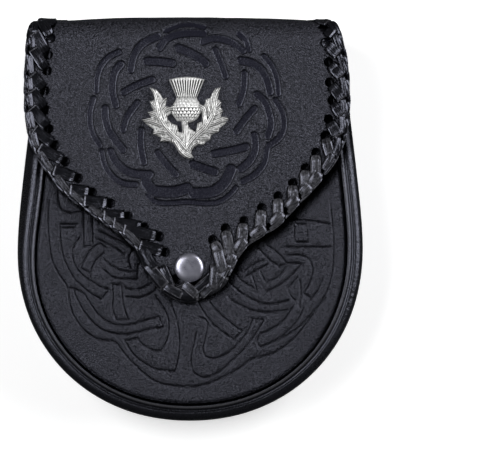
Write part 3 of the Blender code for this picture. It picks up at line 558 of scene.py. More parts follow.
def distance_to(places, line, reach):
    """Each place's distance from a line, or reach where it is further."""
    nearest = np.full(len(places), float(reach))
    for start in range(0, len(line) - 1, LINE_RUN):
        part = line[start : start + LINE_RUN + 1]
        close = (places > part.min(0) - reach) & (places < part.max(0) + reach)
        near = np.all(close, axis=1).nonzero()[0]
        if not len(near):
            continue
        spots = places[near]
        best = nearest[near]
        for a, b in zip(part, part[1:]):
            along = b - a
            share = np.clip((spots - a) @ along / (along @ along + TINY), 0.0, 1.0)
            offset = spots - a - share[:, None] * along
            best = np.minimum(best, np.hypot(offset[:, 0], offset[:, 1]))
        nearest[near] = best
    return nearest


def inside(places, outline):
    """Whether each place is inside a closed outline."""
    x, y = places.T
    odd = np.zeros(len(places), bool)
    for (ax, ay), (bx, by) in zip(outline, np.roll(outline, -1, axis=0)):
        crosses = (ay > y) != (by > y)
        odd ^= crosses & (x < (bx - ax) * (y - ay) / (by - ay + TINY) + ax)
    return odd


def inset_from(places, outline):
    """How far each place is inside a closed outline, at most EDGE_REACH, and less than 0 outside it."""
    closed = np.vstack([outline, outline[:1]])
    return distance_to(places, closed, EDGE_REACH) * np.where(inside(places, outline), 1.0, -1.0)


def rows_inside(outline, insets):
    """Points along a closed outline at some insets, apart from those that its corners crowd together."""
    inward = left_normals(np.vstack([outline[-1:], outline, outline[:1]]))[1:-1]
    if not inside((outline + inward * 0.5)[:1], outline)[0]:
        inward = -inward
    rows = np.vstack([outline + inward * inset for inset in insets])
    return rows[inset_from(rows, outline) > insets[0] * CROWDED], inward


def smoothstep(low, high, value):
    t = np.clip((value - low) / (high - low), 0.0, 1.0)
    return t * t * (3.0 - 2.0 * t)


def fade(value, low, high):
    """1 below low, falling smoothly to 0 at high."""
    return 1 - smoothstep(low, high, value)


def hump(value, middle, width):
    """A bell curve of height 1."""
    return np.exp(-(((value - middle) / width) ** 2))


def ripple(places, length, seed):
    """A smooth uneven field between about -1 and 1, with waves of about this length."""
    draw = random.Random(seed)
    total = np.zeros(len(places))
    for _ in range(RIPPLE_WAVES):
        angle = draw.uniform(0, math.pi)
        scale = 2 * math.pi / (length * draw.uniform(0.7, 1.4))
        total += np.sin(places @ (math.cos(angle) * scale, math.sin(angle) * scale) + draw.uniform(0, 6.3))
    return total / math.sqrt(RIPPLE_WAVES * 2)


def circle(count):
    """The directions of this many points around a circle."""
    angle = 2 * math.pi * np.arange(count) / count
    return np.stack([np.cos(angle), np.sin(angle)], axis=1)


# ---------------------------------------------------------------- meshes


def new_object(name, data):
    made = bpy.data.objects.new(name, data)
    bpy.context.scene.collection.objects.link(made)
    return made


def mesh_piece(name, places, faces, finish, replaced=(), marks=None, sharp=50.0):
    """A piece that rides with the pouch, from places in millimetres. marks holds its values by name."""
    mesh = bpy.data.meshes.new(name)
    mesh.from_pydata((np.asarray(places) * MM).tolist(), [], faces)
    mesh.validate()
    bm = bmesh.new()
    bm.from_mesh(mesh)
    bmesh.ops.recalc_face_normals(bm, faces=bm.faces)
    bm.to_mesh(mesh)
    bm.free()
    for key, values in (marks or {}).items():
        kind, field = ("FLOAT_VECTOR", "vector") if values.ndim == 2 else ("FLOAT", "value")
        mesh.attributes.new(key, kind, "POINT").data.foreach_set(field, values.astype(np.float32).ravel())
    mesh.shade_smooth()
    mesh.set_sharp_from_angle(angle=math.radians(sharp))
    mesh.materials.append(finish)
    piece = new_object(name, mesh)
    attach(piece, "root")
    if replaced:
        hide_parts(*replaced)


def tube_faces(rows, columns):
    """Quads between rows of points that go around, and a cap at each end."""
    row, column = np.mgrid[0 : rows - 1, 0:columns]
    following = (column + 1) % columns
    corners = [row * columns + column, row * columns + following]
    corners += [(row + 1) * columns + following, (row + 1) * columns + column]
    faces = np.stack([corner.ravel() for corner in corners], axis=1).tolist()
    cap = list(range(columns))
    return [*faces, cap, [corner + (rows - 1) * columns for corner in reversed(cap)]]


class Parts:
    """Several bits of mesh that end up in one piece. marks are values at each bit's places, by name."""

    def __init__(self):
        self.bits = []
        self.faces = []
        self.count = 0

    def add(self, places, faces, **marks):
        self.faces += [[corner + self.count for corner in face] for face in faces]
        self.bits.append((places, marks))
        self.count += len(places)

    def piece(self, name, finish, slot, replaced=(), sharp=50.0):
        shapes = {key: values.shape[1:] for _, marks in self.bits for key, values in marks.items()}
        marks = {
            key: np.concatenate([own.get(key, np.zeros((len(places), *shape))) for places, own in self.bits])
            for key, shape in shapes.items()
        }
        places = np.vstack([places for places, _ in self.bits])
        mesh_piece(name, places, self.faces, finish, replaced, marks, sharp)


def open_edges(faces):
    """The edges, as pairs of vertices, that only one face has."""
    rim = set()
    for face in faces:
        for a, b in zip(face, face[1:] + face[:1]):
            if (b, a) in rim:
                rim.remove((b, a))
            else:
                rim.add((a, b))
    return sorted(rim)


def block_centres(low, high, pitch):
    """Centres of the blocks that cover an area, as a list of places, and the blocks' count each way."""
    count = np.ceil((np.array(high) - low) / (pitch * BLOCK)).astype(int)
    across, up = np.meshgrid(np.arange(count[0]), np.arange(count[1]), indexing="ij")
    return low + (np.stack([across.ravel(), up.ravel()], axis=1) + 0.5) * pitch * BLOCK, count


def patchwork(low, pitch, steps, inset):
    """A flat mesh of squares that are 1, 2 or 4 lattice steps wide, trimmed to where inset() is above 0.

    steps holds each block's step, or 0 to leave the block out. The result is the vertices, the faces, and the
    rim as pairs of vertices with the mesh on their left.
    """
    cells = []
    for step in (1, 2, BLOCK):
        blocks = np.argwhere(steps == step) * BLOCK
        for i in range(0, BLOCK, step):
            for j in range(0, BLOCK, step):
                cells.append(np.column_stack([blocks + (i, j), np.full(len(blocks), step)]))
    cells = np.concatenate(cells)
    cells = cells[inset(low + (cells[:, :2] + cells[:, 2:] / 2) * pitch) > 0]
    used = np.zeros(np.array(steps.shape) * BLOCK + 1, bool)
    for a, b in ((0, 0), (1, 0), (1, 1), (0, 1)):
        used[cells[:, 0] + a * cells[:, 2], cells[:, 1] + b * cells[:, 2]] = True
    number = np.where(used, np.cumsum(used).reshape(used.shape) - 1, -1).tolist()
    faces = []
    for i, j, step in cells.tolist():
        loop = [number[i + k][j] for k in range(step)]
        loop += [number[i + step][j + k] for k in range(step)]
        loop += [number[i + step - k][j + step] for k in range(step)]
        loop += [number[i][j + step - k] for k in range(step)]
        faces.append([corner for corner in loop if corner >= 0])
    places = low + np.argwhere(used) * pitch

    rim = open_edges(faces)
    edge = np.unique(np.array(rim))
    for _ in range(2):
        spots = places[edge]
        nudges = np.eye(2) * NUDGE
        slope = np.stack([inset(spots + nudge) - inset(spots - nudge) for nudge in nudges], axis=1)
        slope /= np.linalg.norm(slope, axis=1, keepdims=True) + 1e-9
        places[edge] = spots - np.clip(inset(spots), -pitch * 2, pitch * 2)[:, None] * slope
    return places, faces, rim


def triangulated(points, loops):
    """The vertices and triangles of points inside the first of some closed loops and outside the others."""
    edges = []
    count = len(points)
    for loop in loops:
        edges += [(count + i, count + (i + 1) % len(loop)) for i in range(len(loop))]
        count += len(loop)
    everything = [Vector(point) for point in np.vstack([points, *loops])]
    verts, _, faces, _, _, _ = delaunay_2d_cdt(everything, edges, [], 0, 1e-4)
    flat = np.array([tuple(vert) for vert in verts])
    faces = np.array([face for face in faces if len(face) == 3])
    centres = flat[faces].mean(axis=1)
    kept = inside(centres, loops[0])
    for loop in loops[1:]:
        kept &= ~inside(centres, loop)
    return flat, faces[kept].tolist()


def closed_sheet(top, bottom, faces, rim):
    """The places and faces of a solid between two copies of a flat mesh."""
    count = len(top)
    faces = faces + [[corner + count for corner in reversed(face)] for face in faces]
    faces += [[b, a, a + count, b + count] for a, b in rim]
    return np.vstack([top, bottom]), faces


def level(flat, height):
    """Flat places lifted to a height, or to one height each."""
    return np.column_stack([flat, np.broadcast_to(height, len(flat))])


def sweep(path, up, widths, thicknesses, section):
    """A closed tube along a path, with its top towards up and its section in half widths and thicknesses."""
    ahead = np.gradient(path, axis=0)
    ahead /= np.linalg.norm(ahead, axis=1, keepdims=True)
    sides = np.cross(ahead, up)
    sides /= np.linalg.norm(sides, axis=1, keepdims=True)
    ups = np.cross(sides, ahead)
    across = section[:, 0] * np.asarray(widths)[:, None] / 2
    over = section[:, 1] * np.asarray(thicknesses)[:, None] / 2
    places = path[:, None] + sides[:, None] * across[..., None] + ups[:, None] * over[..., None]
    return places.reshape(-1, 3), tube_faces(len(path), len(section))


def turned(profile, sides, centre):
    """The places and faces of a turned solid, from its profile of radius and height from the top down."""
    profile = np.array(profile, float)
    heights = np.repeat(profile[:, 1:, None], sides, axis=1)
    places = np.concatenate([profile[:, :1, None] * circle(sides)[None], heights], axis=2)
    faces = tube_faces(len(profile), sides)
    return places.reshape(-1, 3) + centre, [face[::-1] for face in faces[:-2]] + faces[-2:]


def stitch(parts, start, end, thickness=0.75):
    """One stitch of thread between two places, bowed out of the back."""
    t = np.linspace(0.0, 1.0, 7)
    start, end, out = (np.array(value, float) for value in (start, end, DOWN))
    bow = 0.35 * np.sin(np.pi * t) - 0.25
    path = start + (end - start) * t[:, None] + out * bow[:, None]
    widths = thickness * np.sin(np.pi * (0.12 + 0.76 * t)) ** 0.5
    parts.add(*sweep(path, DOWN, widths, widths, circle(6)))


# ---------------------------------------------------------------- finishes


def scaled(tone, factor):
    return tuple(factor * channel for channel in tone)


class Finish:
    """A procedural material round one shader, with short names for the nodes that feed it."""

    def __init__(self, name, roughness, metallic=0.0, **sockets):
        self.material = bpy.data.materials.new(name)
        self.material.use_nodes = True
        self.tree = self.material.node_tree
        self.inputs = self.tree.nodes["Principled BSDF"].inputs
        for key, value in {"roughness": roughness, "metallic": metallic, **sockets}.items():
            self.inputs[key.replace("_", " ").title().replace("Ior", "IOR")].default_value = value

    def node(self, kind, inputs=None, **settings):
        """A node with its settings, whose inputs are values or other nodes' outputs."""
        node = self.tree.nodes.new(kind)
        for key, value in settings.items():
            setattr(node, key, value)
        for key, value in (inputs or {}).items():
            if isinstance(value, bpy.types.NodeSocket):
                self.tree.links.new(value, node.inputs[key])
            else:
                node.inputs[key].default_value = value
        return node

    def mark(self, name, output="Fac"):
        """The mesh's own value of this name."""
        return self.node("ShaderNodeAttribute", attribute_name=name).outputs[output]

    def place(self):
        return self.node("ShaderNodeTexCoord").outputs["Object"]

    def noise(self, scale, detail, place=None):
        """Noise with this many waves to a metre, or to a unit of place."""
        inputs = {"Vector": place or self.place(), "Scale": scale, "Detail": detail}
        return self.node("ShaderNodeTexNoise", inputs).outputs[0]

    def spread(self, value, to_low=0.0, to_high=1.0, low=0.3, high=0.7):
        """The value mapped from a range, usually the one that noise fills, to another and kept inside it."""
        inputs = {0: value, 1: low, 2: high, 3: to_low, 4: to_high}
        return self.node("ShaderNodeMapRange", inputs).outputs[0]

    def sum(self, first, second):
        return self.node("ShaderNodeMath", {0: first, 1: second}, operation="ADD").outputs[0]

    def product(self, first, second):
        return self.node("ShaderNodeMath", {0: first, 1: second}, operation="MULTIPLY").outputs[0]

    def mix(self, share, dark, light):
        inputs = {0: share, 6: (*dark, 1.0) if isinstance(dark, tuple) else dark, 7: (*light, 1.0)}
        return self.node("ShaderNodeMix", inputs, data_type="RGBA").outputs[2]

    def pebbles(self, scale):
        """Rounded grain of leather, high inside each pebble and low between pebbles."""
        place = self.place()
        inputs = {"Vector": place, "Scale": scale * 0.7, "Detail": 1.0}
        wander = self.node("ShaderNodeTexNoise", inputs).outputs[1]
        bent = self.node("ShaderNodeVectorMath", {0: wander, 3: 0.5 / scale}, operation="SCALE").outputs[0]
        place = self.node("ShaderNodeVectorMath", {0: place, 1: bent}, operation="ADD").outputs[0]
        inputs = {"Vector": place, "Scale": scale}
        cells = self.node("ShaderNodeTexVoronoi", inputs, feature="DISTANCE_TO_EDGE")
        return self.spread(cells.outputs["Distance"], low=0.0, high=0.35)

    def bump(self, height, depth, before=None):
        """A bump whose relief is this many metres deep."""
        inputs = {"Height": height, "Distance": depth, "Strength": 1.0}
        if before is not None:
            inputs["Normal"] = before
        return self.node("ShaderNodeBump", inputs).outputs[0]

    def connect(self, shade, rough, normal):
        for key, value in (("Base Color", shade), ("Roughness", rough), ("Normal", normal)):
            if value is not None:
                self.tree.links.new(value, self.inputs[key])
        return self.material

    def paint_shade(self, shade):
        """Paints shade: where the mesh is marked for painted shade, the surface turns black and loses its
        gloss.
        """
        dark = self.mark("hollow")
        self.tree.links.new(self.spread(dark, low=0.3, high=0.95), self.inputs["Metallic"])
        return self.mix(self.spread(dark, low=0.2, high=0.8), shade, PAINTED_SHADE_TONE)


def leather(name, tone, roughness, gloss, depth, grain, pressed=False, hollow=False):
    """Black grained leather, smoother where its mesh is marked as pressed, and painted black as shade where
    it is marked for that.
    """
    look = Finish(name, roughness, specular_ior_level=gloss, specular_tint=LEATHER_TINT)
    cells = look.pebbles(1 / grain)
    coarse = look.spread(look.noise(0.9 / grain, 1.0))
    fine = look.spread(look.noise(2.0 / grain, 1.0), low=0.34, high=0.66)
    cloud = look.noise(34.0, 3.0)
    mottle = look.sum(look.product(coarse, 0.25), look.product(fine, 0.75))
    shade = look.mix(look.spread(mottle, low=0.42, high=0.62), BLACK, scaled(tone, 6.5))
    shade = look.mix(look.spread(cloud, 0.0, 0.3, low=0.35, high=0.75), shade, scaled(tone, 1.5))
    rough = look.spread(cloud, roughness - 0.03, roughness + 0.05)
    rough = look.sum(rough, look.spread(fine, 0.12, -0.08, low=0.0, high=1.0))
    relief = look.sum(look.product(cells, 0.4), look.product(coarse, 0.4))
    relief = look.sum(relief, look.product(fine, 0.9))
    if pressed:
        flat = look.mark("pressed")
        relief = look.product(relief, look.spread(flat, 1.0, 0.25, low=0.2, high=0.9))
        shade = look.mix(look.spread(flat, 0.0, 0.8, low=0.3, high=1.0), shade, RIBBON_TONE)
        rough = look.sum(rough, look.spread(flat, 0.0, -0.03, low=0.3, high=1.0))
    return look.connect(look.paint_shade(shade) if hollow else shade, rough, look.bump(relief, depth))


def lace_leather():
    """Glossy flat lace, streaked along its length, with painted highlights in streaky patches and painted
    shade where its mesh is marked for them. The strand mark holds along, across and a number.
    """
    look = Finish("lace", 0.2, specular_ior_level=0.66, specular_tint=LEATHER_TINT)
    inputs = {"Vector": look.mark("strand", "Vector"), "Scale": (0.25, 1.9, 3.7)}
    streaks = look.noise(1.0, 3.0, look.node("ShaderNodeMapping", inputs).outputs[0])
    creases = look.noise(900.0, 3.0)
    shade = look.mix(look.spread(streaks, low=0.35), *LACE_TONES)
    painted_highlight_patches = look.product(look.mark("worn"), look.spread(creases, 0.3, low=0.35, high=0.6))
    painted_highlight_patches = look.product(painted_highlight_patches, look.spread(streaks, 0.3, low=0.36, high=0.62))
    shade = look.mix(painted_highlight_patches, shade, PAINTED_LACE_HIGHLIGHT_TONE)
    rough = look.sum(look.spread(streaks, 0.13, 0.25), look.spread(creases, 0.0, 0.06))
    normal = look.bump(creases, 0.00007, look.bump(streaks, 0.00014))
    return look.connect(look.paint_shade(shade), rough, normal)


def gusset_leather():
    """Softer, shinier leather of the rolled band, with a painted highlight and painted shade where its mesh
    is marked for them.
    """
    look = Finish("gusset_leather", 0.27, specular_ior_level=0.5, specular_tint=LEATHER_TINT)
    cells = look.pebbles(1 / 0.0011)
    fine = look.noise(1900.0, 2.0)
    cloud = look.noise(40.0, 2.0)
    shade = look.mix(look.spread(cells, 0.2, 0.9, low=0.0, high=1.0), scaled(GUSSET_TONE, 0.4), GUSSET_TONE)
    shade = look.mix(look.mark("worn"), shade, PAINTED_BEAD_HIGHLIGHT_TONE)
    rough = look.sum(look.spread(cloud, 0.25, 0.31), look.spread(fine, -0.04, 0.06))
    relief = look.sum(look.product(fine, 0.6), cells)
    return look.connect(look.paint_shade(shade), rough, look.bump(relief, 0.00006))


def cast_silver():
    """Bright cast metal, dark and dull with patina where its mesh is marked for it."""
    look = Finish("cast_silver", roughness=0.3, metallic=0.45)
    hollow = look.mark("hollow")
    cloud = look.noise(900.0, 3.0)
    shade = look.mix(look.spread(cloud), *SILVER_TONES)
    shade = look.mix(look.spread(hollow, low=0.2, high=0.95), shade, HOLLOW_SILVER_TONE)
    rough = look.sum(look.spread(cloud, 0.28, 0.4), look.spread(hollow, 0.0, 0.25, low=0.2, high=1.0))
    return look.connect(shade, rough, look.bump(cloud, 0.00008))


def gunmetal():
    """Satin dark metal, very finely uneven."""
    look = Finish("gunmetal", roughness=0.3, metallic=0.8)
    cloud = look.noise(300.0, 3.0)
    fine = look.noise(2600.0, 2.0)
    shade = look.mix(look.spread(cloud), *GUNMETAL_TONES)
    return look.connect(shade, look.spread(cloud, 0.26, 0.34), look.bump(fine, 0.00002))


def thread_finish():
    look = Finish("thread", 0.55)
    twist = look.noise(2400.0, 2.0)
    shade = look.mix(look.spread(twist), *THREAD_TONES)
    return look.connect(shade, None, look.bump(twist, 0.0001))


# ---------------------------------------------------------------- the flap, bent from its flat pattern


def flap_frames(s):
    """The middle of the leather at each distance along it, and its outward normal, both as y, z."""
    s = np.asarray(s, float)
    drop = np.maximum(0.0, SAG_START_Y - s) / SAG_LENGTH
    front = (s, FLAP_LEVEL - FLAP_SAG * drop**2, -2 * FLAP_SAG * drop / SAG_LENGTH, np.ones_like(s))
    angle = (s - FOLD_START) / FOLD_RADIUS
    out_y, out_z = np.sin(angle), np.cos(angle)
    fold = (FOLD_START + FOLD_RADIUS * out_y, WALL_TOP_Z + FOLD_RADIUS * out_z, out_y, out_z)
    wall = (np.full_like(s, FOLD_Y), WALL_TOP_Z - (s - WALL_START), np.ones_like(s), np.zeros_like(s))
    rear_y = FOLD_Y - REAR_FOLD_RADIUS
    angle = (s - WALL_END) / REAR_FOLD_RADIUS
    out_y, out_z = np.cos(angle), -np.sin(angle)
    rear = (rear_y + REAR_FOLD_RADIUS * out_y, WALL_END_Z + REAR_FOLD_RADIUS * out_z, out_y, out_z)
    tail = (rear_y - (s - TAIL_START), np.full_like(s, TAIL_Z), np.zeros_like(s), -np.ones_like(s))
    where = [s <= FOLD_START, s <= WALL_START, s <= WALL_END, s <= TAIL_START]
    return [np.select(where, four, default=last) for *four, last in zip(front, fold, wall, rear, tail)]


def on_flap(flat, height):
    """The places of points x, s of the flat pattern, this far out from the middle of the leather."""
    y, z, out_y, out_z = flap_frames(flat[:, 1])
    return np.stack([flat[:, 0], y + out_y * height, z + out_z * height], axis=1)


laced_line = smooth_line(LACED_EDGE)
leather_edge = laced_line + left_normals(laced_line) * LACE_REACH
coarse_edge = leather_edge[::3]
edge_normals = left_normals(leather_edge)
edge_along = distance_along(leather_edge)


def at_edge(along, inset):
    """The flat place that is this far along the leather's edge and this far in from it."""
    point = [np.interp(along, edge_along, column) for column in leather_edge.T]
    normal = [np.interp(along, edge_along, column) for column in edge_normals.T]
    return np.stack([p + n * inset for p, n in zip(point, normal)], axis=-1)


def outside_circles(flat, circles, most):
    """How far each place is outside the nearest of some circles, but not more than most."""
    nearest = most
    for x, s, radius in circles:
        nearest = np.minimum(nearest, np.hypot(flat[:, 0] - x, flat[:, 1] - s) - radius)
    return nearest


def flap_inset(flat):
    """How far a place of the flat pattern is inside the leather, with its holes cut out."""
    return outside_circles(flat, LACE_CIRCLES + FIXING_CIRCLES, inset_from(flat, coarse_edge))


def painted_lacing_shadow(flat):
    """How strongly the lacing's shadow is painted on the body at each place, from 1 close to the lacing to 0,
    reaching further on the right.
    """
    gap = distance_to(flat, coarse_edge, EDGE_REACH) - LACE_SHADE_START
    reach = 3.4 + 5.0 * smoothstep(0.0, 40.0, flat[:, 0])
    return fade(gap, 0.3 * reach, reach)


def ring_field(flat):
    """Distance outside the nearest pressed ribbon, less than 0 inside one."""
    field = np.full(len(flat), RING_FIELD_REACH)
    for width, points in RING_RIBBONS_PX:
        half = width * PHOTO_MM / 2
        line = smooth_line(from_photo(points), 2.0)
        field = np.minimum(field, distance_to(flat, line, RING_FIELD_REACH + half) - half)
    return field


def build_flap(finish):
    low = np.array(FLAP_LOW)
    centres, count = block_centres(low, FLAP_HIGH, FLAP_PITCH)
    inset = flap_inset(centres)
    reach = FLAP_PITCH * BLOCK * 0.75
    steps = np.full(len(centres), BLOCK)
    folded = (centres[:, 1] > FOLD_START - 2) & (centres[:, 1] < TAIL_START + 2)
    steps[folded | (inset < reach)] = 2
    fine = outside_circles(centres, LACE_CIRCLES, NEARBY) < reach
    fine |= np.abs(strip_distance(centres)) < reach + 0.3
    fine |= np.abs(ring_field(centres)) < reach + RING_WALL / 2
    steps[fine] = 1
    steps[inset < -reach * 2] = 0
    flat, faces, rim = patchwork(low, FLAP_PITCH, steps.reshape(count), flap_inset)

    field = ring_field(flat)
    hole = outside_circles(flat, LACE_CIRCLES, NEARBY)
    strip = strip_distance(flat)
    pressed = fade(field, -RING_WALL / 2, RING_WALL / 2)
    relief = -RING_DEPTH * pressed
    relief -= HOLE_DIP * fade(hole, 0.0, 0.8)
    relief += 0.12 * ripple(flat, 38.0, 5) + 0.05 * ripple(flat, 13.0, 6)
    relief -= STRIP_DIP * fade(strip, 0.0, 0.9)
    full = FOLD_FULLNESS * hump(flat[:, 1], WALL_START, FOLD_FULL_LENGTH)
    full *= 1 - smoothstep(0.0, FOLD_FULL_WIDTH, np.abs(flat[:, 0])) ** 2
    top = on_flap(flat, FLAP_THICKNESS / 2 + relief + full)
    bottom = on_flap(flat, full - FLAP_THICKNESS / 2)
    places, faces = closed_sheet(top, bottom, faces, rim)
    # painted shade: the pressed ribbons' walls, the holes' walls and the leather beside the strips are
    # painted black
    wall = np.maximum(0.6 * hump(field, 0.0, 0.42), fade(hole, 0.05, 0.5))
    wall = np.maximum(wall, fade(strip, 0.1, 0.65) * (hole > 0))
    marks = {"pressed": np.concatenate([pressed, pressed * 0]), "hollow": np.tile(wall, 2)}
    mesh_piece("flap_leather", places, faces, finish, ["flap"], marks)


# ---------------------------------------------------------------- lacing


def binding(spots, lift):
    """Places on the lacing: spots are the way along the edge and across from its outermost line to the front.

    lift is how far a place stands off the binding's core. Behind the flap across is negative.
    """
    along, across = spots.T
    radius = CREST_RADIUS + lift
    turn = np.clip(across / CREST_RADIUS, -math.pi / 2, math.pi / 2)
    flat_part = np.maximum(np.abs(across) - CREST_TURN, 0.0)
    inset = CREST_TURN_CENTRE - radius * np.cos(turn) + flat_part
    along = np.clip(along, edge_along[0], edge_along[-1])
    return on_flap(at_edge(along, inset), radius * np.sin(turn))


def hole_places():
    """Each hole's distance along the edge."""
    found = []
    start = 0
    for hole in LACE_HOLES:
        gap = np.hypot(*(leather_edge[start:] - hole).T)
        start += int(np.argmin(gap[:HOLE_SEARCH] if start else gap))
        found.append(edge_along[start])
    return np.array(found)


def lace_strips():
    """Each strip's hole, its end under the crest, and that end's distance along the edge."""
    draw = random.Random(5)
    found = []
    for number, (hole, place) in enumerate(zip(LACE_HOLES, hole_places())):
        lean = looked_up(number, STRIP_LEAN) + draw.uniform(-2, 2)
        end_inset = looked_up(number, STRIP_END)
        out = math.dist(hole, at_edge(place, 0.0))
        crest = place - math.tan(math.radians(lean)) * (out - end_inset)
        found.append((np.array(hole), at_edge(max(crest, 0.0), end_inset), crest))
    return found


def strip_distance(flat):
    """How far places on the flap are from the sides of the strips and bands, at most NEARBY."""
    lines = [(hole, end, STRIP_WIDTH, 1.5) for hole, end, _ in lace_strips()]
    lines = [line for number, line in enumerate(lines) if number not in HIDDEN_STRIPS]
    lines += [(np.array(band[:2]), np.array(band[2:4]), band[4], -0.3) for band in TIP_BANDS]
    nearest = np.full(len(flat), NEARBY)
    for start, end, width, first in lines:
        span = math.dist(start, end)
        ahead = (end - start) / span
        reach = (flat - start) @ ahead
        side = np.abs((flat - start) @ np.array((-ahead[1], ahead[0]))) - width / 2
        nearest = np.minimum(nearest, np.where((reach > first) & (reach < span + 0.5), side, NEARBY))
    return nearest


def tightness(s, most):
    """A factor for the lace's thickness and height, less where it is drawn tighter behind the fold."""
    return 1 - most * float(smoothstep(THIN_FROM, THIN_TO, s))


class Lacing:
    """The lacing's straps as parts of one piece, each with small random differences."""

    def __init__(self):
        self.draw = random.Random(11)
        self.parts = Parts()

    def section(self, width, crown):
        """The lace's section in half widths and half thicknesses: raised edges over a skirt that is painted
        black as shade, creases.
        """
        foot, peak, skirt = 1 - 2 * LACE_RIM / width, 1 - 0.34 / width, 1 + 2 * LACE_SKIRT / width
        top = [(1.0, 0.7), (peak, 1.35), (foot, 0.85)]
        for number, share in enumerate((0.8, 0.54, 0.27, 0.0, -0.27, -0.54, -0.8)):
            crease = self.draw.uniform(-0.3, -0.06) if number % 2 else self.draw.uniform(0.0, 0.1)
            top.append(((share + self.draw.uniform(-0.06, 0.06)) * foot, 1.0 + crease))
        top += [(-foot, 0.85), (-peak, 1.35), (-1.0, 0.7)]
        section = np.array([*top, (-skirt, -0.6), (0.0, -1.0), (skirt, -0.6)])
        section[:, 1] += crown * np.maximum(1 - section[:, 0] ** 2, 0.0)
        return section

    def strap(self, place, ends, profile, widths, tight=1.0, crown=0.0, edges=(0.0, 0.0), end_highlight=0.0, painted_sheen=0.0):
        """A strap on the straight line between two ends, in the coordinates that place() puts on a surface.

        profile holds the way along and the height. The last three arguments paint light on the top: a
        highlight along the cut edge on each side, one across the end, and a sheen over the whole top.
        """
        section = self.section(np.max(widths), crown)
        start, end = ends
        ahead = (end - start) / math.dist(start, end)
        normals = left_normals(profile)
        across = section[:, 0] * np.asarray(widths)[:, None] / 2
        up = section[:, 1] * STRIP_THICKNESS * tight / 2
        reach = profile[:, :1] + normals[:, :1] * up
        height = profile[:, 1:] + normals[:, 1:] * up
        flat = start + reach[..., None] * ahead + across[..., None] * np.array((-ahead[1], ahead[0]))

        rows, columns = across.shape
        strand = np.empty((rows, columns, 3))
        strand[..., 0] = distance_along(profile)[:, None]
        strand[..., 1] = across
        strand[..., 2] = self.draw.uniform(0, 90)
        top = columns - SKIRT_POINTS
        # painted highlights: a sheen over the top, lines along the cut edges and a line across the end
        worn = np.zeros((rows, columns))
        worn[:, :top] = painted_sheen
        worn[:, 1], worn[:, top - 2] = np.maximum(edges, painted_sheen)
        worn[-3, 1 : top - 1] = np.maximum(worn[-3, 1 : top - 1], end_highlight)
        # painted shade: the skirt under the lace's raised edges is painted black
        hollow = np.zeros((rows, columns))
        hollow[:, top:] = 1.0
        marks = {"strand": strand.reshape(-1, 3), "hollow": hollow.ravel(), "worn": worn.ravel()}
        self.parts.add(place(flat.reshape(-1, 2), height.ravel()), tube_faces(rows, columns), **marks)

    def lay_strips(self, left, right):
        """The strips from the holes to the edge, in front and behind."""
        bend = np.array(STRIP_BEND)
        for number, (hole, end, _) in enumerate(lace_strips()):
            tight = tightness(hole[1], 0.45)
            span = math.dist(hole, end)
            rest = [*np.linspace(bend[-1, 0] + 0.7, span - 1.4, 3), *(span - np.array(STRIP_END_STEPS))]
            lip = 1 - 0.7 * right[number]
            rise = bend[-1, 1] + lip * np.array(STRIP_END_RISE) + self.draw.uniform(-0.06, 0.06)
            over = 0.6 * (1 - right[number]) - 0.25
            rise += over * smoothstep(0.0, 0.7, np.linspace(0.0, 1.0, len(rest)))
            front = np.vstack([bend, np.column_stack([rest, rise, STRIP_END_WIDTHS])])
            front[:, 1] *= np.where(front[:, 1] > 1.3, 0.75 + 0.25 * tight, 1.0)
            whole = np.vstack([front[:0:-1] * (1, -1, 1), front])
            widths = STRIP_WIDTH * self.draw.uniform(0.96, 1.03) * whole[:, 2]
            if number in HIDDEN_STRIPS:
                continue
            # painted highlights along the cut edges, stronger on the right side, and across the end, stronger
            # on the left side, and a painted sheen on the right side's strips
            light = 0.02 + 0.4 * right[number]
            end_highlight, painted_sheen = 0.3 + 0.3 * left[number], 0.24 * right[number]
            profile, crown = whole[:, :2], 1.1 * right[number]
            self.strap(on_flap, (hole, end), profile, widths, tight, crown, (light, light), end_highlight, painted_sheen)
            if hole[1] > FOLD_START:
                self.plug(hole, end)

    def plug(self, hole, end):
        """Lace that fills a hole which no other strip hides."""
        ahead = (end - hole) / math.dist(hole, end)
        reach = np.linspace(-HOLE_RADIUS, HOLE_RADIUS, PLUG_ROWS)
        height = -1.5 + 0.4 * np.cos(np.linspace(-1.3, 1.3, PLUG_ROWS))
        ends = (hole, hole + (-ahead[1], ahead[0]))
        self.strap(on_flap, ends, np.column_stack([reach, height]), np.full(PLUG_ROWS, PLUG_WIDTH))

    def lay_leaves(self, crest, left, point, right):
        """Overlapping leaves in rows along the edge, in front and behind. crest has the strips' ends."""
        steps, blunt, drop = np.array(LEAF_ROWS).T
        last = len(crest) - 1
        for number, place in enumerate(crest):
            spacing = (crest[min(number + 1, last)] - crest[max(number - 1, 0)]) / 2
            spacing /= LEAF_SPACING if 0 < number < last else LEAF_SPACING / 2
            spot = at_edge(min(max(place, 0.0), edge_along[-1]), 0.0)
            tight = tightness(spot[1], 0.5)
            leaves = np.array(SIDE_LEAVES) * (1 - left[number] - point[number] - right[number])
            leaves += np.array(LEFT_LEAVES) * left[number] + np.array(RIGHT_LEAVES) * right[number]
            leaves += np.array(TIP_LEAVES) * point[number]
            upper = LACE_HOLES[number][1] > UPPER_FROM
            for side in (1, -1):
                for begin, end, low, high, width, lift, lifted, dome in leaves:
                    start = np.array((place + begin * spacing, side * low))
                    stop = np.array((place + end * spacing, side * (high + self.draw.uniform(-0.12, 0.12))))
                    heights = lift + (lifted - lift) * smoothstep(0.0, 0.75, steps) - drop
                    heights = heights - dome * (2 * steps - 1) ** 2 + self.draw.uniform(-0.05, 0.05)
                    heights = heights * tight - (1 - tight) * 0.7
                    profile = np.column_stack([steps * math.dist(start, stop), heights])
                    widths = width * self.draw.uniform(0.94, 1.05) * blunt
                    inner = high > INNER_FROM
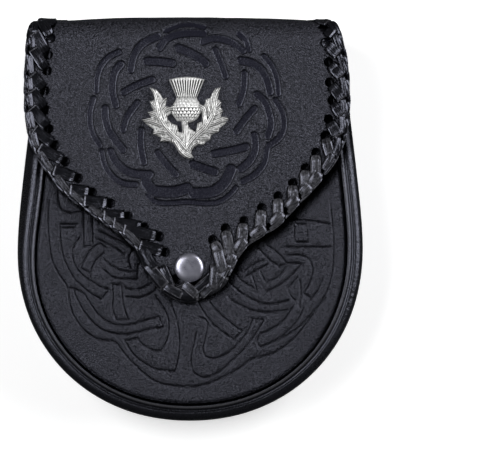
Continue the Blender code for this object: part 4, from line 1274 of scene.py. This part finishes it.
                    # painted highlights along the leaves' cut edges, brighter on the outer row and weaker
                    # high up, across the tip's inner ends, and a painted sheen on the right side's leaves and
                    # the left side's inner row
                    light = (0.3 if inner else 0.75) * (1 - 0.4 * upper * (1 - right[number]))
                    edges = (light * (side < 0), light * (side > 0))
                    end_highlight = 0.6 * point[number] * inner
                    painted_sheen = 0.2 * right[number] + 0.16 * left[number] * inner
                    self.strap(binding, (start, stop), profile, widths, tight, 0.5 + dome, edges, end_highlight, painted_sheen)

    def lay_tip_bands(self):
        """The wide bands that cross at the tip."""
        for x, s, end_x, end_s, width, low, high, left_light, right_light, painted_sheen in TIP_BANDS:
            start, end = np.array((x, s)), np.array((end_x, end_s))
            span = math.dist(start, end)
            reach = np.array(BAND_ROWS)[:, 0] * span + np.array(BAND_ROWS)[:, 1]
            rise = low + (high - low) * smoothstep(0.0, span * 0.7, reach) - np.array(BAND_ROWS)[:, 2]
            widths = width * np.array(BAND_ROWS)[:, 3]
            edges = (left_light, right_light)
            profile = np.column_stack([reach, rise])
            # a painted highlight across each band's end
            self.strap(on_flap, (start, end), profile, widths, 1.0, 1.1, edges, 0.3, painted_sheen)

    def lay_core(self, first, last):
        """The core under the leaves, painted black as shade."""
        stations = np.arange(first - 6.0, last + 5.0, CORE_STEP)
        stations = stations[(stations > edge_along[0]) & (stations < edge_along[-1])]
        outer = np.linspace(-CORE_HALF_WIDTH, CORE_HALF_WIDTH, CORE_POINTS)
        section = [*[(across, -0.68) for across in outer], *[(across, -0.86) for across in outer[::-2]]]
        across, lift = np.array(section).T
        spots = np.stack(np.broadcast_arrays(stations[:, None], across), axis=-1)
        places = binding(spots.reshape(-1, 2), np.tile(lift, len(stations)))
        self.parts.add(places, tube_faces(len(stations), len(section)), hollow=np.ones(len(places)))


def build_lacing(finish):
    numbers = np.arange(len(LACE_HOLES))
    left, point, right = (
        smoothstep(zone[0], zone[1], numbers) * smoothstep(zone[3], zone[2], numbers)
        for zone in (LEFT_ZONE, TIP_ZONE, RIGHT_ZONE)
    )
    crest = [end for _, _, end in lace_strips()]
    lacing = Lacing()
    lacing.lay_strips(left, right)
    lacing.lay_leaves(crest, left, point, right)
    lacing.lay_tip_bands()
    lacing.lay_core(crest[0], crest[-1])
    lacing.parts.piece("edge_lacing", finish, "lace_leather", ["edge_lace"], sharp=40.0)


# ---------------------------------------------------------------- body


def side_half_width(y):
    return HALF_WIDTH - SIDE_TAPER * (math.hypot(y - WIDEST_Y, SIDE_TAPER_START) - SIDE_TAPER_START)


def body_outline():
    """The body's outer line, from the top of its left side round the bottom to the top of its right side."""
    angle = np.linspace(0.0, math.pi / 2, 121)
    power = 2 / BOTTOM_ROUNDNESS
    bottom_y = WIDEST_Y - BOTTOM_DEPTH * np.cos(angle) ** power
    curve = np.stack([HALF_WIDTH * np.sin(angle) ** power, bottom_y], axis=1)
    side = [(side_half_width(y), y) for y in np.linspace(WIDEST_Y, GUSSET_TOP_Y, 91)[1:]]
    right = np.vstack([curve, side])
    return np.vstack([right[::-1] * (-1, 1), right[1:]])


def roll_shift(places):
    """How far the front roll and the panel's edge beside it are moved in, at places on the body's outline."""
    x, y = places.T
    return LEFT_SHIFT * smoothstep(SHIFT_FROM, SHIFT_TO, y) * (x < 0)


def panel_outline(inset, top, step, leaning=1.0):
    """The body's outline moved in, with a straight top edge and rounded corners, at this step."""
    line = resample(body_outline(), 3.0)
    line = line + left_normals(line) * (inset + leaning * roll_shift(line))[:, None]
    corner_y = top - PANEL_CORNER
    corner_x = side_half_width(corner_y) - inset - GAP - PANEL_CORNER
    line = line[line[:, 1] < corner_y - 2.0]
    turn = np.linspace(0.0, math.pi / 2, 7)
    right = PANEL_CORNER * np.stack([np.cos(turn), np.sin(turn)], axis=1) + (corner_x, corner_y)
    outline = np.vstack([line, right, right[::-1] * (-1, 1)])
    return resample(np.vstack([outline, outline[:1]]), step)[:-1]


def panel_lattice(pitch, top, stagger=0.0):
    """A lattice of places that covers a panel, with every other row shifted."""
    x, y = np.meshgrid(np.arange(-80.0, 80.0, pitch), np.arange(-96.0, top, pitch))
    return np.column_stack([x.ravel() + np.arange(x.size) // x.shape[1] % 2 * stagger, y.ravel()])


def embossed_points(lines, inset, distance):
    """Points along grooves and their flanks, without those that another groove takes over."""
    points = []
    for line in lines:
        line = resample(line, GROOVE_STEP)
        normals = left_normals(line)
        for offset in GROOVE_ROWS:
            row = line + normals * offset
            points.append(row[distance(row) > abs(offset) - 0.1])
    points = np.vstack(points)
    points = points[inset(points) > PANEL_RIM_ROWS[-1] * 0.6]
    _, first = np.unique(np.round(points / 0.22).astype(int), axis=0, return_index=True)
    return points[np.sort(first)]


def build_front_panel(finish):
    outline = panel_outline(PANEL_INSET, GUSSET_TOP_Y, 1.1)
    stud_hole = circle(16) * STUD_HOLE_RADIUS + (0.0, SNAP_Y)
    grooves = [smooth_line(from_photo(points)) for points in FRONT_GROOVES_PX]

    def panel_inset(flat):
        return outside_circles(flat, [(0.0, SNAP_Y, STUD_HOLE_RADIUS)], inset_from(flat, outline))

    def groove_distance(flat):
        distance = np.full(len(flat), NEARBY)
        for line in grooves:
            distance = np.minimum(distance, distance_to(flat, line, NEARBY))
        return distance

    rim_rows, _ = rows_inside(outline, PANEL_RIM_ROWS)
    ground = panel_lattice(PANEL_PITCH, GUSSET_TOP_Y, PANEL_PITCH / 2)
    ground = ground[panel_inset(ground) > PANEL_RIM_ROWS[-1] + 0.8]
    ground = ground[groove_distance(ground) > GROOVE_ROWS[-1] + 0.7]
    points = embossed_points(grooves, panel_inset, groove_distance)
    flat, faces = triangulated(np.vstack([ground, rim_rows, points]), [outline, stud_hole])

    inset = inset_from(flat, outline)
    distance = groove_distance(flat)
    relief = PANEL_DOME * np.sin(np.clip(inset / PANEL_DOME_REACH, 0.0, 1.0) * math.pi / 2)
    relief -= looked_up(distance, GROOVE_PROFILE)
    relief -= PANEL_RIM_DROP * fade(inset, 0.2, PANEL_RIM_WIDTH) ** 1.6
    relief += 0.1 * ripple(flat, 31.0, 3)
    under = FRONT_FACE_Z - FRONT_THICKNESS
    top = level(flat, np.maximum(FRONT_FACE_Z + relief, under + 0.2))
    places, faces = closed_sheet(top, level(flat, under), faces, open_edges(faces))
    # painted shade: black in the grooves, weaker on the right, along the panel's very edge, a painted shadow
    # of the roll along the right part of its edge, and the lacing's painted shadow
    groove_shade = 0.8 - 0.15 * smoothstep(-15.0, 25.0, flat[:, 0])
    rim_shade = 0.36 * fade(inset, 0.4, 3.2) * smoothstep(-40.0, 40.0, flat[:, 0])
    shades = [groove_shade * fade(distance, 0.0, 0.3), 0.6 * fade(inset, 0.1, 0.8)]
    shades += [rim_shade, 0.95 * painted_lacing_shadow(flat)]
    marks = {"hollow": np.concatenate([np.max(shades, axis=0), np.zeros(len(flat))])}
    mesh_piece("front_panel_leather", places, faces, finish, ["front_panel"], marks)


def build_back_panel(finish, thread):
    """The back's leather, turned over at its edge and sewn to the band along a pressed line."""
    outline = panel_outline(2 * ROLL_RADIUS - GAP, BACK_TOP_Y, 1.6, 0.0)
    rows, inward = rows_inside(outline, BACK_SEAM_ROWS)
    ground = panel_lattice(BACK_PITCH, BACK_TOP_Y)
    ground = ground[inset_from(ground, outline) > BACK_SEAM_ROWS[-1] + 1.2]
    flat, faces = triangulated(np.vstack([ground, rows]), [outline])
    inset = inset_from(flat, outline)
    relief = 0.12 * ripple(flat, 34.0, 8) + 0.06 * ripple(flat, 12.0, 9) - 0.1
    relief -= 0.45 * fade(inset, 0.0, 1.2) + 0.35 * hump(inset, BACK_SEAM_INSET, 0.55)
    inner = level(flat, BACK_FACE_Z + BACK_THICKNESS)
    places, faces = closed_sheet(level(flat, BACK_FACE_Z - relief), inner, faces, open_edges(faces))
    mesh_piece("back_panel_leather", places, faces, finish, ["back_panel"])

    parts = Parts()
    seam = resample(outline + inward * BACK_SEAM_INSET, STITCH_LENGTH + STITCH_GAP)
    for a, b in zip(seam, seam[1:]):
        end = a + (b - a) * STITCH_LENGTH / math.dist(a, b)
        stitch(parts, (*a, BACK_FACE_Z + 0.3), (*end, BACK_FACE_Z + 0.3), 0.6)
    parts.piece("back_panel_stitches", thread, "panel_leather")


def roll_arc(radius, middle_z, first, last, count):
    """Part of a roll's section, as inset and height, between two angles in degrees."""
    turn = np.radians(np.linspace(first, last, count))
    return np.column_stack([ROLL_RADIUS + radius * np.cos(turn), middle_z + radius * np.sin(turn)])


def roll_wrinkles(outline, along, over):
    """Relief of fine uneven wrinkles across the front roll, stronger round the bottom and on the right."""
    x, y = outline.T
    draw = random.Random(23)
    relief = np.zeros((len(outline), len(over)))
    row = np.arange(len(over))
    for length in WRINKLE_LENGTHS:
        phase = draw.uniform(0, 6.3) + np.cumsum(np.array([draw.uniform(-1, 1) for _ in outline])) * 0.3
        wave = np.sin(2 * math.pi * along / length + phase)
        relief += 0.04 * wave[:, None] * np.cos(row * draw.uniform(0.03, 0.09) + draw.uniform(0, 6.3))
    curved = smoothstep(5.0, -45.0, y) * smoothstep(0.15, 0.55, np.abs(x) / HALF_WIDTH)
    relief *= (0.06 + 0.5 * curved + 0.35 * smoothstep(0.0, 40.0, x))[:, None] * over
    return relief + 0.1 * np.sin(along / 21.0)[:, None] * over


def build_gusset(finish):
    """The rolled band: its section goes over the front roll, down the wall and under the rear roll."""
    outline = resample(body_outline(), GUSSET_STEP)
    normals = left_normals(outline)
    lean = roll_shift(outline)[:, None]

    front = smooth_line(ROLL_SECTION, 0.36)
    crest = int(np.argmax(front[:, 1]))
    share = np.linspace(0.0, 1.0, 11)[1:-1]
    top, low = ROLL_SECTION[-1][1], REAR_ROLL_Z
    wall = np.column_stack([GUSSET_WAIST * np.sin(np.pi * share), top + (low - top) * share])
    rear = roll_arc(ROLL_RADIUS, REAR_ROLL_Z, 180.0, 360.0 + REAR_TUCK, 17)
    skin = np.vstack([front, wall, rear])
    swing = np.concatenate([np.ones(crest), smoothstep(30.0, 40.0, skin[crest:, 1])])

    radius = ROLL_RADIUS - GUSSET_THICKNESS
    back = roll_arc(radius, REAR_ROLL_Z, 360.0 + REAR_TUCK, 180.0, 9)
    fore = roll_arc(radius, FRONT_ROLL_Z, 180.0, -40.0, 9)
    lining = np.vstack([back, (GUSSET_THICKNESS + GUSSET_WAIST, (FRONT_ROLL_Z + REAR_ROLL_Z) / 2), fore])
    lining_swing = smoothstep(28.0, 38.0, lining[:, 1])

    def swept(profile, swings, moved_in=0.0, moved_up=0.0):
        inset = profile[:, 0] + lean * swings + moved_in
        spots = outline[:, None] + normals[:, None] * inset[..., None]
        heights = np.broadcast_to(profile[:, 1] + moved_up, inset.shape)
        return np.concatenate([spots, heights[..., None]], axis=2)

    over = hump(skin[:, 1], ROLL_TOP_Z, 3.2) * (np.arange(len(skin)) > crest - 6)
    relief = roll_wrinkles(outline, distance_along(outline), over)
    out = left_normals(skin)
    outer = swept(skin, swing, relief * out[:, 0], relief * out[:, 1])
    places = np.concatenate([outer, swept(lining, lining_swing)], axis=1)
    rows, columns = places.shape[:2]
    places = places.reshape(-1, 3)

    # painted highlight along the top of the bead
    bead_highlight = hump(skin[:, 0], BEAD_INSET, 0.4) * (skin[:, 1] > 39.5)
    # painted shade in the crease beside the bead and on the edge tucked in beside the panel
    crease = 0.95 * hump(skin[:, 0], CREASE_INSET, 0.55) * (skin[:, 1] > 38.5)
    crease = np.maximum(crease, smoothstep(7.75, 8.0, skin[:, 0]))
    worn, hollow = (np.tile([*mark, *np.zeros(len(lining))], rows) for mark in (bead_highlight, crease))
    # a painted shadow of the lacing on the roll's top
    shade = 0.7 * painted_lacing_shadow(places[:, :2]) * (places[:, 2] > 34.0)
    marks = {"worn": worn, "hollow": np.maximum(hollow, shade)}
    faces = tube_faces(rows, columns)
    mesh_piece("rolled_gusset", places, faces, finish, ["gusset"], marks, sharp=60.0)


def build_tail_seam(finish):
    """Two rows of stitches that hold the flap's tail to the back panel."""
    parts = Parts()
    for s in (TAIL_START + 4.0, TAIL_END - 3.0):
        for x in np.arange(-60.0, 60.0, STITCH_LENGTH + STITCH_GAP):
            ends = np.array([(x, s), (x + STITCH_LENGTH, s)])
            stitch(parts, *on_flap(ends, FLAP_THICKNESS / 2 + 0.1))
    parts.piece("tail_stitches", finish, "gusset_leather")


def loop_section():
    """A flat strip's section with rounded edges, in half widths and half thicknesses."""
    angle = 2 * math.pi * (np.arange(LOOP_POINTS) + 0.5) / LOOP_POINTS
    across, up = np.cos(angle), np.sin(angle)
    return np.stack([np.sign(across) * np.abs(across) ** 0.12, np.sign(up) * np.abs(up) ** 0.5], axis=1)


def build_belt_loop(name, x, finish, thread):
    """A strip that is sewn to the back at both ends and stands off it between them."""
    half = LOOP_THICKNESS / 2
    sewn, free = BACK_FACE_Z - GAP - half, half
    bent = LOOP_FOOT + LOOP_BEND
    length = 2 * bent + LOOP_SPAN
    t = np.linspace(0.0, length, 69)
    z = sewn + (free - sewn) * smoothstep(LOOP_FOOT, bent, np.minimum(t, length - t))
    path = np.column_stack([np.full_like(t, x), LOOP_TOP_Y - t, z])
    widths = np.full(len(t), LOOP_WIDTH)
    widths[[0, -1]] -= 1.6
    widths[[1, -2]] -= 0.3
    places, faces = sweep(path, DOWN, widths, np.full(len(t), LOOP_THICKNESS), loop_section())
    replaced = [f"belt_loop_{name}"]
    mesh_piece(f"belt_loop_leather_{name}", places, faces, finish, replaced, sharp=60.0)

    parts = Parts()
    below = sewn - half - 0.1
    for foot_y in (LOOP_TOP_Y - LOOP_FOOT / 2, LOOP_TOP_Y - length + LOOP_FOOT / 2):
        corners = np.array([(-1, -1), (1, -1), (1, 1), (-1, 1)]) * LOOP_SEAM + (x, foot_y)
        for a, b in zip(corners, np.roll(corners, -1, axis=0)):
            count = round(math.dist(a, b) / 3.2)
            for i in range(count):
                start, end = (a + (b - a) * (i + share) / count for share in (0.1, 0.9))
                stitch(parts, (*start, below), (*end, below))
    parts.piece(f"belt_loop_stitches_{name}", thread, "gusset_leather")


# ---------------------------------------------------------------- metal


def build_snap_cap(finish):
    sag = FLAP_SAG * ((SAG_START_Y - SNAP_Y) / SAG_LENGTH) ** 2
    share = np.linspace(0.02, 1.0, 30)
    dome = CAP_RIM + (CAP_HEIGHT - CAP_RIM) * (1 - share**4) ** 0.5
    edge = [(CAP_RADIUS - 0.05, 0.35), (CAP_RADIUS - 0.3, 0.1), (CAP_RADIUS - 0.6, 0.0)]
    post = [(POST_RADIUS, 0.0), (POST_RADIUS, -FLAP_THICKNESS - GAP)]
    profile = [*zip(CAP_RADIUS * share, dome), *edge, *post]
    places, faces = turned(profile, 72, (0.0, SNAP_Y, BADGE_BASE_Z - sag))
    mesh_piece("snap_dome", places, faces, finish, ["snap_cap"])


def build_badge(finish):
    outline = from_photo(BADGE_OUTLINE_PX)
    gaps = [from_photo(points) for points in BADGE_GAPS_PX]
    bulb = from_photo(BULB_CENTRE_PX)
    bulb_size = np.array((BULB_HALF_WIDTH, BULB_HALF_HEIGHT))
    neck_y = from_photo((0.0, FAN_NECK_PX))[1]

    def badge_inset(flat):
        inset = inset_from(flat, outline)
        for gap in gaps:
            inset = np.minimum(inset, -inset_from(flat, gap))
        dome = np.hypot(*((flat - bulb) / bulb_size).T)
        return np.maximum(inset, (1 - dome) * BULB_HALF_HEIGHT)

    low = outline.min(0) - BADGE_MARGIN
    centres, count = block_centres(low, outline.max(0) + BADGE_MARGIN, BADGE_PITCH)
    steps = np.where(badge_inset(centres) > -BADGE_MARGIN, 1, 0)
    flat, faces, rim = patchwork(low, BADGE_PITCH, steps.reshape(count), badge_inset)

    # the leaves, whose ridges stand on a plate and have grooved veins
    height = np.full(len(flat), BADGE_PLATE)
    hollow = 0.3 + 0.7 * smoothstep(0.35, 1.0, ripple(flat, 1.3, 12))
    for half, rise, points in BADGE_RIDGES_PX:
        distance = distance_to(flat, smooth_line(from_photo(points), 0.5), RIDGE_REACH)
        share = np.clip(1 - (distance / (half * PHOTO_MM * 1.25)) ** 2, 0.0, 1.0)
        ridge = BADGE_PLATE + rise * share**0.75
        veins = 0.5 + 0.5 * np.cos(distance * 2 * math.pi / (0.9 + 0.12 * ripple(flat, 5.0, 14)))
        higher = ridge > height
        height = np.where(higher, ridge - 0.3 * (1 - veins) * share, height)
        line_shade = fade(veins, 0.15, 0.7) * smoothstep(-1.3, -0.2, ripple(flat, 2.6, 15))
        hollow = np.where(higher, np.maximum(line_shade, 0.6 * hollow), hollow)

    # the flower's fluted fan
    angle = np.arctan2(*(flat - from_photo(FAN_APEX_PX)).T)
    fan_angle = math.radians(FAN_HALF_ANGLE)
    in_fan = (flat[:, 1] > neck_y - 0.4) & (np.abs(angle) < fan_angle)
    flutes = np.abs(np.sin(angle / (2 * fan_angle) * math.pi * FLUTES + math.pi / 2 * (FLUTES % 2)))
    up = np.clip((flat[:, 1] - neck_y) / FAN_LENGTH, 0.0, 1.0)
    fan = FAN_HEIGHT * (0.72 + 0.28 * up) - 0.9 * (1 - flutes**0.6) * smoothstep(0.0, 0.15, up)
    height = np.where(in_fan, fan, height)
    fan_shade = np.clip(2.3 * (1.0 - flutes**1.2), 0.0, 1.0) * smoothstep(1.0, 0.86, up)
    hollow = np.where(in_fan, fan_shade, hollow)

    # the bulb below it, with scales in staggered rows
    u, v = ((flat - bulb) / bulb_size).T
    dome = np.sqrt(np.clip(1 - u**2 - v**2, 0.0, 1.0))
    row = v * SCALE_ROWS + 0.5
    column = np.arcsin(np.clip(u / np.sqrt(np.clip(1 - v**2, 0.05, 1)), -1, 1)) * SCALE_COLUMNS
    column += np.where(np.floor(row).astype(int) % 2 == 0, 0.0, 0.5)
    scale = np.hypot((row - np.floor(row)) * 0.9, np.abs(column - np.round(column)) * 2)
    scale = 1 - np.clip(scale, 0.0, 1.0)
    gap = fade(scale + 0.06 * ripple(flat, 1.1, 16), 0.02, 0.36)
    ball = 0.4 + BULB_HEIGHT * 0.92 * dome + 0.35 * scale - 0.2 * gap
    in_ball = (dome > 0.05) & (ball > np.where(in_fan, 0.0, height)) & ~(in_fan & (v > 0.72))
    height = np.where(in_ball, ball, height)
    ball_shade = gap * (0.45 + 0.55 * smoothstep(0.35, 0.0, v) * smoothstep(-0.85, -0.5, v))
    hollow = np.where(in_ball, ball_shade, hollow)

    height = height * (0.45 + 0.55 * smoothstep(0.0, 0.6, badge_inset(flat)))
    top, bottom = level(flat, BADGE_BASE_Z + height), level(flat, BADGE_BASE_Z)
    places, faces = closed_sheet(top, bottom, faces, rim)
    parts = Parts()
    parts.add(places, faces, hollow=np.concatenate([hollow, np.full(len(flat), 0.3)]))
    post = [(BADGE_POST_RADIUS, 0.5), (BADGE_POST_RADIUS, -BADGE_POST_LENGTH)]
    parts.add(*turned(post, 24, (BADGE_X, BADGE_Y, BADGE_BASE_Z)))
    parts.piece("thistle_casting", finish, "cast_silver", ["thistle_badge"], sharp=70.0)


# ---------------------------------------------------------------- stage


def build_floor():
    """A white floor that the pouch lies on. It sends no light onto the pouch."""
    mesh = bpy.data.meshes.new("floor")
    corners = [(-FLOOR_REACH, -FLOOR_REACH, 0), (FLOOR_REACH, -FLOOR_REACH, 0)]
    corners += [(FLOOR_REACH, FLOOR_REACH, 0), (-FLOOR_REACH, FLOOR_REACH, 0)]
    mesh.from_pydata(corners, [], [(0, 1, 2, 3)])
    glow = {"emission_color": (1.0, 1.0, 1.0, 1.0), "emission_strength": FLOOR_GLOW}
    look = Finish("floor", 0.9, specular_ior_level=0.0, base_color=FLOOR_COLOR, **glow)
    mesh.materials.append(look.material)
    floor = new_object("floor", mesh)
    floor.location.z = -FLOOR_DROP
    floor.visible_glossy = False
    floor.visible_diffuse = False


def build_light():
    world = bpy.data.worlds.new("studio")
    bpy.context.scene.world = world
    world.use_nodes = True
    background = world.node_tree.nodes["Background"].inputs
    background["Color"].default_value = WORLD_COLOR
    background["Strength"].default_value = WORLD_STRENGTH
    for name, (azimuth, elevation, distance, width, height, radiance) in SOFTBOXES.items():
        lamp = bpy.data.lights.new(name, "AREA")
        lamp.shape = "RECTANGLE"
        lamp.size = width
        lamp.size_y = height
        lamp.energy = radiance * math.pi * width * height
        turn, tilt = math.radians(azimuth), math.radians(90 - elevation)
        holder = new_object(name, lamp)
        reach = distance * math.sin(tilt)
        holder.location = (reach * math.sin(turn), reach * math.cos(turn), distance * math.cos(tilt))
        holder.rotation_euler = (tilt, 0.0, math.pi - turn)


def build_camera():
    lens = bpy.data.cameras.new("camera")
    lens.sensor_width = SENSOR_WIDTH
    lens.lens = SENSOR_WIDTH * CAMERA_HEIGHT / FIELD_WIDTH
    camera = new_object("camera", lens)
    camera.location = (CAMERA_X * MM, CAMERA_Y * MM, (CAMERA_HEIGHT + CAMERA_FOCUS_Z) * MM)
    bpy.context.scene.camera = camera
    bpy.context.scene.view_settings.view_transform = "Standard"


def main():
    # the panel and the flap are painted black as shade where their meshes are marked for it
    fine = {"grain": 0.0012, "hollow": True}
    panel = leather("panel_leather", PANEL_TONE, roughness=0.21, gloss=0.34, depth=0.00016, **fine)
    flap = leather("flap_leather", FLAP_TONE, roughness=0.24, gloss=0.38, depth=0.00022, pressed=True, **fine)
    plain = leather("back_leather", BACK_TONE, roughness=0.45, gloss=0.5, depth=0.00015, grain=0.0009)
    silver = cast_silver()
    dark_metal = gunmetal()
    thread = thread_finish()

    build_flap(flap)
    build_lacing(lace_leather())
    build_front_panel(panel)
    build_back_panel(plain, thread)
    build_gusset(gusset_leather())
    build_tail_seam(thread)
    build_belt_loop("left", -LOOP_X, plain, thread)
    build_belt_loop("right", LOOP_X, plain, thread)
    build_badge(silver)
    build_snap_cap(dark_metal)
    for node, finish in (("badge_nut", silver), ("snap_socket", dark_metal), ("snap_stud", dark_metal)):
        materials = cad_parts[node].data.materials
        materials.clear()
        materials.append(finish)
    build_floor()
    build_light()
    build_camera()


main()
